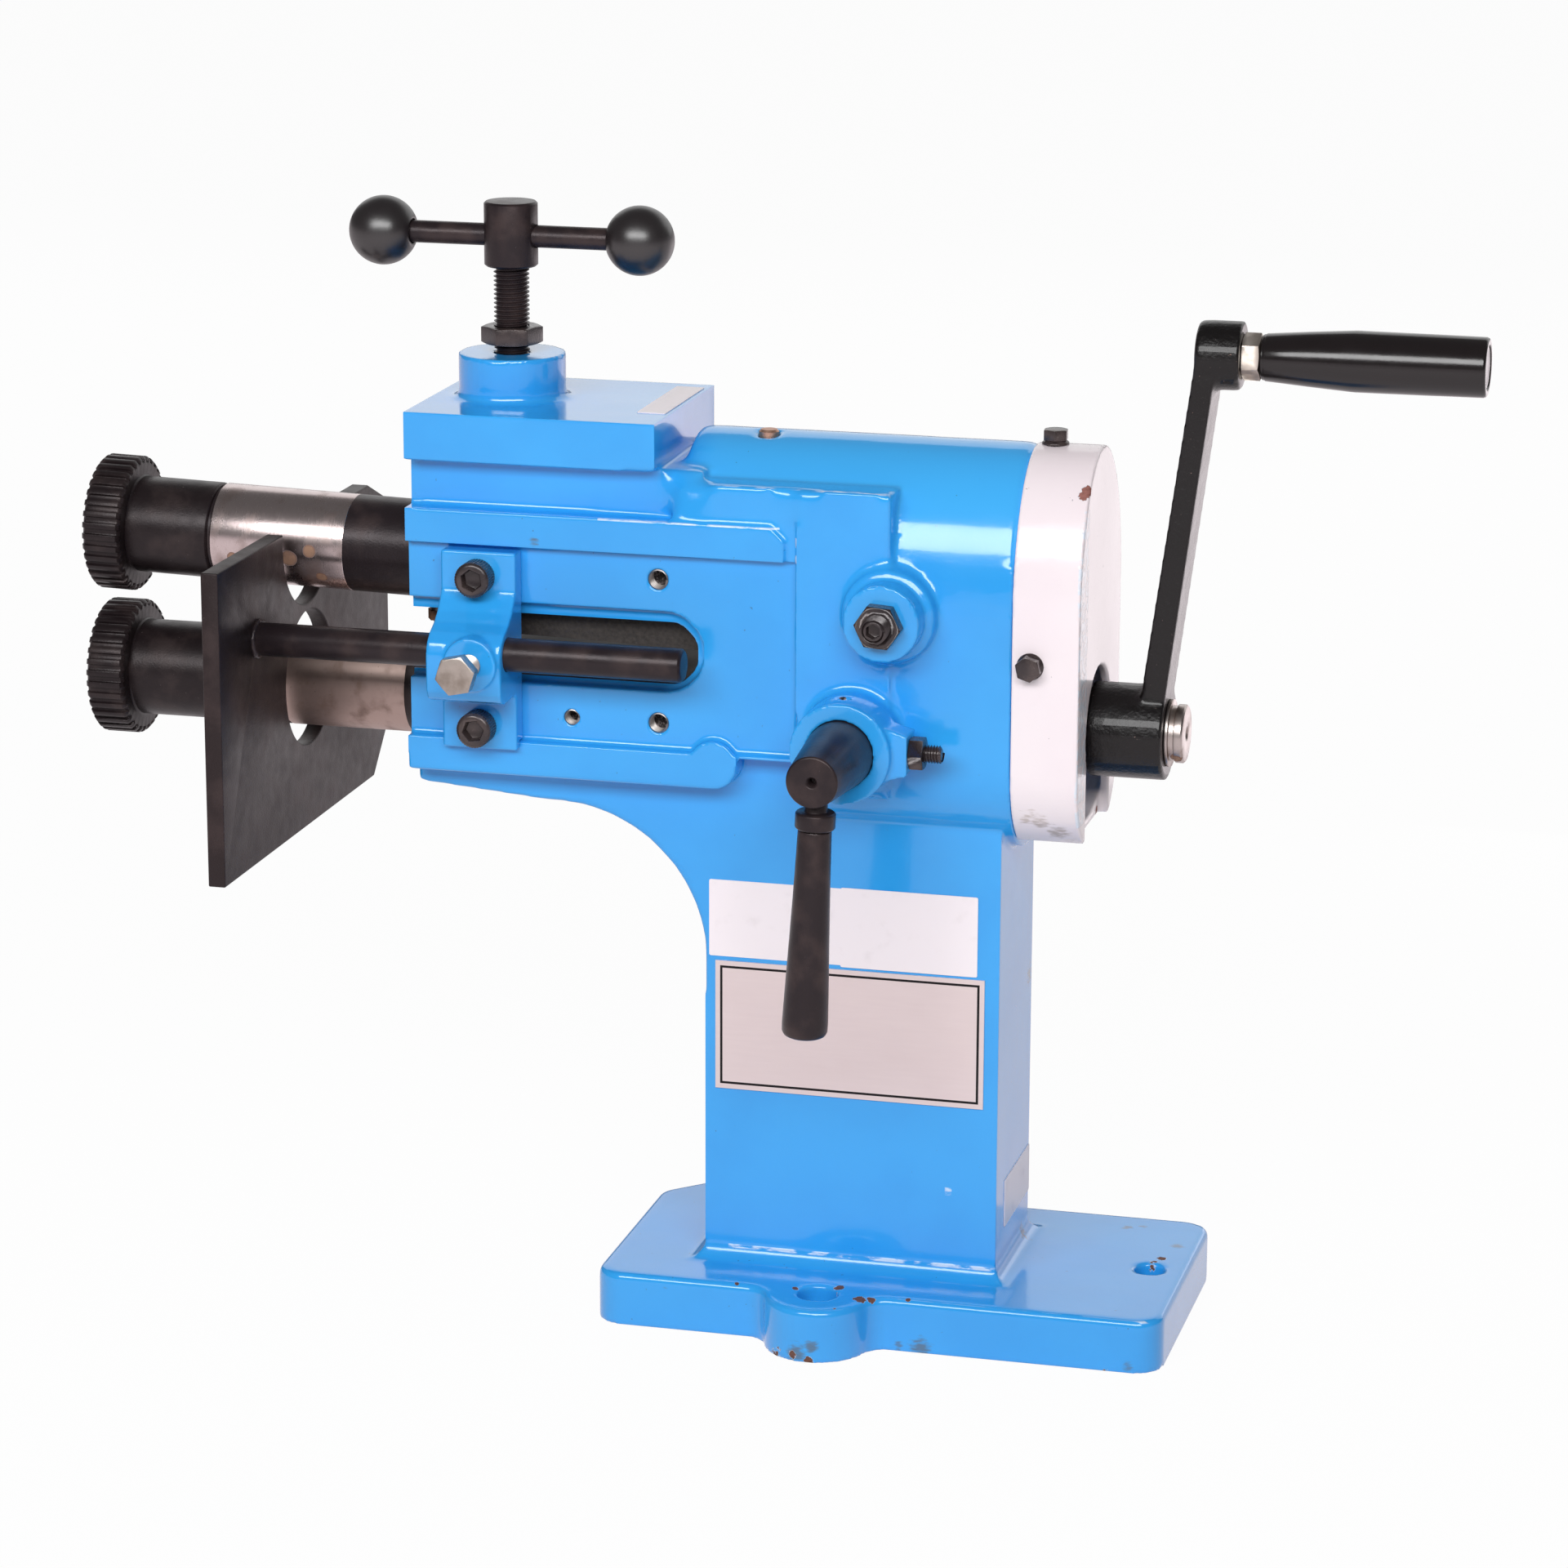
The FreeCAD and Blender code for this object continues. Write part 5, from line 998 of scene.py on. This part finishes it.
def crank():
    arm = as_cast(carried_over("crank_arm", "lacquered_crank"), 0.9, 1.1, 80000, [
        box_crease((122, -22, 290), (139, 22, 302), 2.4),
        box_crease((158, -20, 424), (170, 20, 436), 2.4),
        box_crease((149, -20, 440), (156, 20, 462), 3.0),
    ])
    fit(arm, lacquer, "lower_shaft", "black_casting", "crank_arm")
    washer = soften(turn("turned_crank_washer", [(0, 14.6), (0.4, 15), (1.7, 15), (1.7, 12.3),
                                                 (3.9, 12.3)]), 0.2)
    fit(stand(washer, at(CRANK_FACE_X, 0, LOWER_Z), RIGHT), shaft_end, "lower_shaft",
        "polished_steel", "crank_washer")
    screw = turn("turned_crank_screw", [(-19, 4.9), (4, 4.9), (4, 13), (7.2, 13), (8, 12.2),
                                        (8, 3.4), (6.6, 1.8), (3, 1.7)])
    fit(stand(soften(screw, 0.2), at(CRANK_FACE_X, 0, LOWER_Z), RIGHT), shaft_end,
        "lower_shaft", "polished_steel", "crank_screw")
    nut = stand(hexagonal("chamfered_grip_nut", 8, 18, 5.9), at(169.7, 0, GRIP_Z), RIGHT, -6)
    fit(nut, zinc, "lower_shaft", "zinc_steel", "grip_nut")
    grip = turn("moulded_grip", [
        (86, 8), (96.2, 9.4), (97, 10.0), (97, 11.9), (96.6, 12.6), (95.6, 13), (70, 13.15),
        (40.5, 13.25), (40, 13.2), (39.5, 13.2), (20, 11.8), (1.6, 10.3), (1.6, 10.0),
        (0.5, 9.9), (0, 9.4), (0, 6.4), (80, 6.4)])
    fit(stand(soften(grip, 0.3, 28), at(178, 0, GRIP_Z), RIGHT), grip_black, "grip",
        "black_grip", "crank_grip")
    cap = soften(turn("pale_end_cap", [(0, 9.2), (2.0, 9.2), (2.5, 8.7), (2.5, 7.6),
                                       (2.2, 7.4)]), 0.15)
    fit(stand(cap, at(272, 0, GRIP_Z), RIGHT), label_white, "grip", "zinc_steel", "grip_cap")


def sticker(name, low, high, finish, slot):
    """A thin sheet between two corners, a little rounded at its own corners."""
    size = Vector(high) - Vector(low)
    thin = min(range(3), key=lambda axis: size[axis])
    fresh()
    bpy.ops.mesh.primitive_cube_add(size=1, location=(Vector(low) + size / 2) * MM)
    piece = bpy.context.object
    piece.name = name
    bpy.ops.transform.resize(value=size * MM)
    settle(piece)
    bpy.ops.object.mode_set(mode="EDIT")
    bpy.ops.mesh.select_mode(type="EDGE")
    bpy.ops.mesh.select_all(action="DESELECT")
    bpy.ops.object.mode_set(mode="OBJECT")
    for edge in piece.data.edges:
        first, second = (piece.data.vertices[index].co for index in edge.vertices)
        run = second - first
        edge.select = abs(run[thin]) > 0.9 * run.length
    bpy.ops.object.mode_set(mode="EDIT")
    bpy.ops.mesh.bevel(offset=0.8 * MM, segments=4)
    bpy.ops.object.mode_set(mode="OBJECT")
    return fit(smooth(piece), finish, "frame", slot)


def labels():
    sticker("left_white_label", (-59, -36.3, 168), (2.4, -35.9, 203.5), label_white,
            "bare_plate")
    sticker("right_white_label", (1.6, -36.5, 167.2), (64, -36.2, 204), label_white,
            "bare_plate")
    sticker("top_white_label", (-95, -25, 410.8), (-82, 40.5, 411.4), label_white, "bare_plate")
    sticker("side_label", (73.8, -18.5, 44.8), (74.4, 35.2, 67), label_white, "bare_plate")


def plain_solids():
    """The solids whose own shape is right get their finish."""
    for finish, names in (
            (plate_silver, ["name_plate"]),
            (copper_red, ["oil_plug"]),
            (brown, ["spring_nuts", "spring_studs"]),
            (dark_casting, ["swing_arm"]),
            (black_steel, ["upper_shaft", "upper_roll_nut", "lower_roll_nut"]),
            (bronze_gold, ["upper_front_bush", "upper_rear_bush", "lower_front_bush",
                           "lower_rear_bush"]),
            (turned_steel, ["lower_shaft", "upper_keys", "lower_keys", "upper_gear",
                            "lower_gear", "upper_gear_clip", "collar_clips", "shift_collar",
                            "return_springs", "pressure_foot", "grip_spindle"])):
        for name in names:
            for place in nodes[name].material_slots:
                place.material = finish


# Stage, lamps and camera.


def pale_floor():
    """A white floor that still takes the machine's shadow."""
    side, paint, white_light = 40, (0.86, 0.86, 0.86, 1), (1, 1, 1, 1)
    shares = {"Is Camera Ray": 0.965, "Is Glossy Ray": 0.78, "Is Transmission Ray": 0.78}
    fresh()
    bpy.ops.mesh.primitive_plane_add(size=side, location=(0, 0, 0))
    floor = bpy.context.object
    floor.name = "floor"
    finish = Finish("pale_floor", Roughness=0.9, Base_Color=paint)
    direct = finish.node("LightPath", output="Is Camera Ray")
    seen = finish.any_of([finish.node("LightPath", output=ray) * share
                          for ray, share in shares.items()])
    tint = finish.mix(direct, shade(255, 245, 248), white_light)
    glow = finish.node("Emission", inputs={"Color": tint, "Strength": 1.0})
    lit = Wire(finish, finish.shader.outputs[0])
    both = finish.node("MixShader", inputs={0: seen, 1: lit, 2: glow})
    finish.tree.links.new(both.socket, finish.tree.nodes["Material Output"].inputs[0])
    floor.data.materials.append(finish.material)


def lamp(name, place, target, width, height, power, color=(1, 1, 1)):
    """A rectangular area lamp; lengths are in metres and the power in watts."""
    data = bpy.data.lights.new(name, "AREA")
    data.color = color
    data.shape = "RECTANGLE"
    data.size, data.size_y, data.energy = width, height, power
    made = bpy.data.objects.new(name, data)
    made.location = place
    made.rotation_mode = "QUATERNION"
    made.rotation_quaternion = (Vector(target) - Vector(place)).to_track_quat("-Z", "Y")
    bpy.context.scene.collection.objects.link(made)


def studio():
    """A long softbox in front, a white screen behind and a low one behind the crank."""
    middle, behind_crank = (0, 0, 0.3), (0.45, 0, 0.25)
    rosy, room_glow = (1, 0.9, 0.93), 0.145
    lamp("front_softbox", (0.1, -2.0, 1.5), middle, 2.7, 0.7, 55)
    lamp("white_screen", (0, 2.5, 1.45), middle, 5.0, 1.9, 30)
    lamp("low_screen", (0.45, 0.9, 0.18), behind_crank, 0.6, 0.34, 0.55, rosy)
    world = bpy.data.worlds.new("dim_studio")
    bpy.context.scene.world = world
    world.use_nodes = True
    surroundings = world.node_tree.nodes["Background"].inputs
    surroundings["Color"].default_value = (1, 1, 1, 1)
    surroundings["Strength"].default_value = room_glow


def camera():
    """The photograph's own viewpoint: a long lens, a little from the right and above."""
    place = at(510.8, -2124.7, 822.6)
    yaw, pitch, roll = (math.radians(angle) for angle in (14.38, 14.88, 0.20))
    sensor_width, focal_length = 36.0, 115.63
    nearest, farthest = 0.1, 60
    ahead = Vector((-math.sin(yaw) * math.cos(pitch), math.cos(yaw) * math.cos(pitch),
                    -math.sin(pitch)))
    data = bpy.data.cameras.new("camera")
    data.sensor_width, data.lens = sensor_width, focal_length
    data.clip_start, data.clip_end = nearest, farthest
    made = bpy.data.objects.new("camera", data)
    made.rotation_mode = "QUATERNION"
    made.rotation_quaternion = (ahead.to_track_quat("-Z", "Y")
                                @ Quaternion((0, 0, 1), roll))
    made.location = place
    bpy.context.scene.collection.objects.link(made)
    bpy.context.scene.camera = made
    bpy.context.scene.view_settings.view_transform = "Standard"


camera()
pale_floor()
studio()
frame_and_cover()
gauge_bracket()
tapped_holes()
rolls_and_sleeves()
clamp()
pivot_fixings()
shift_lever()
gauge()
bracket_fixings()
cover_bolts()
crank()
labels()
plain_solids()
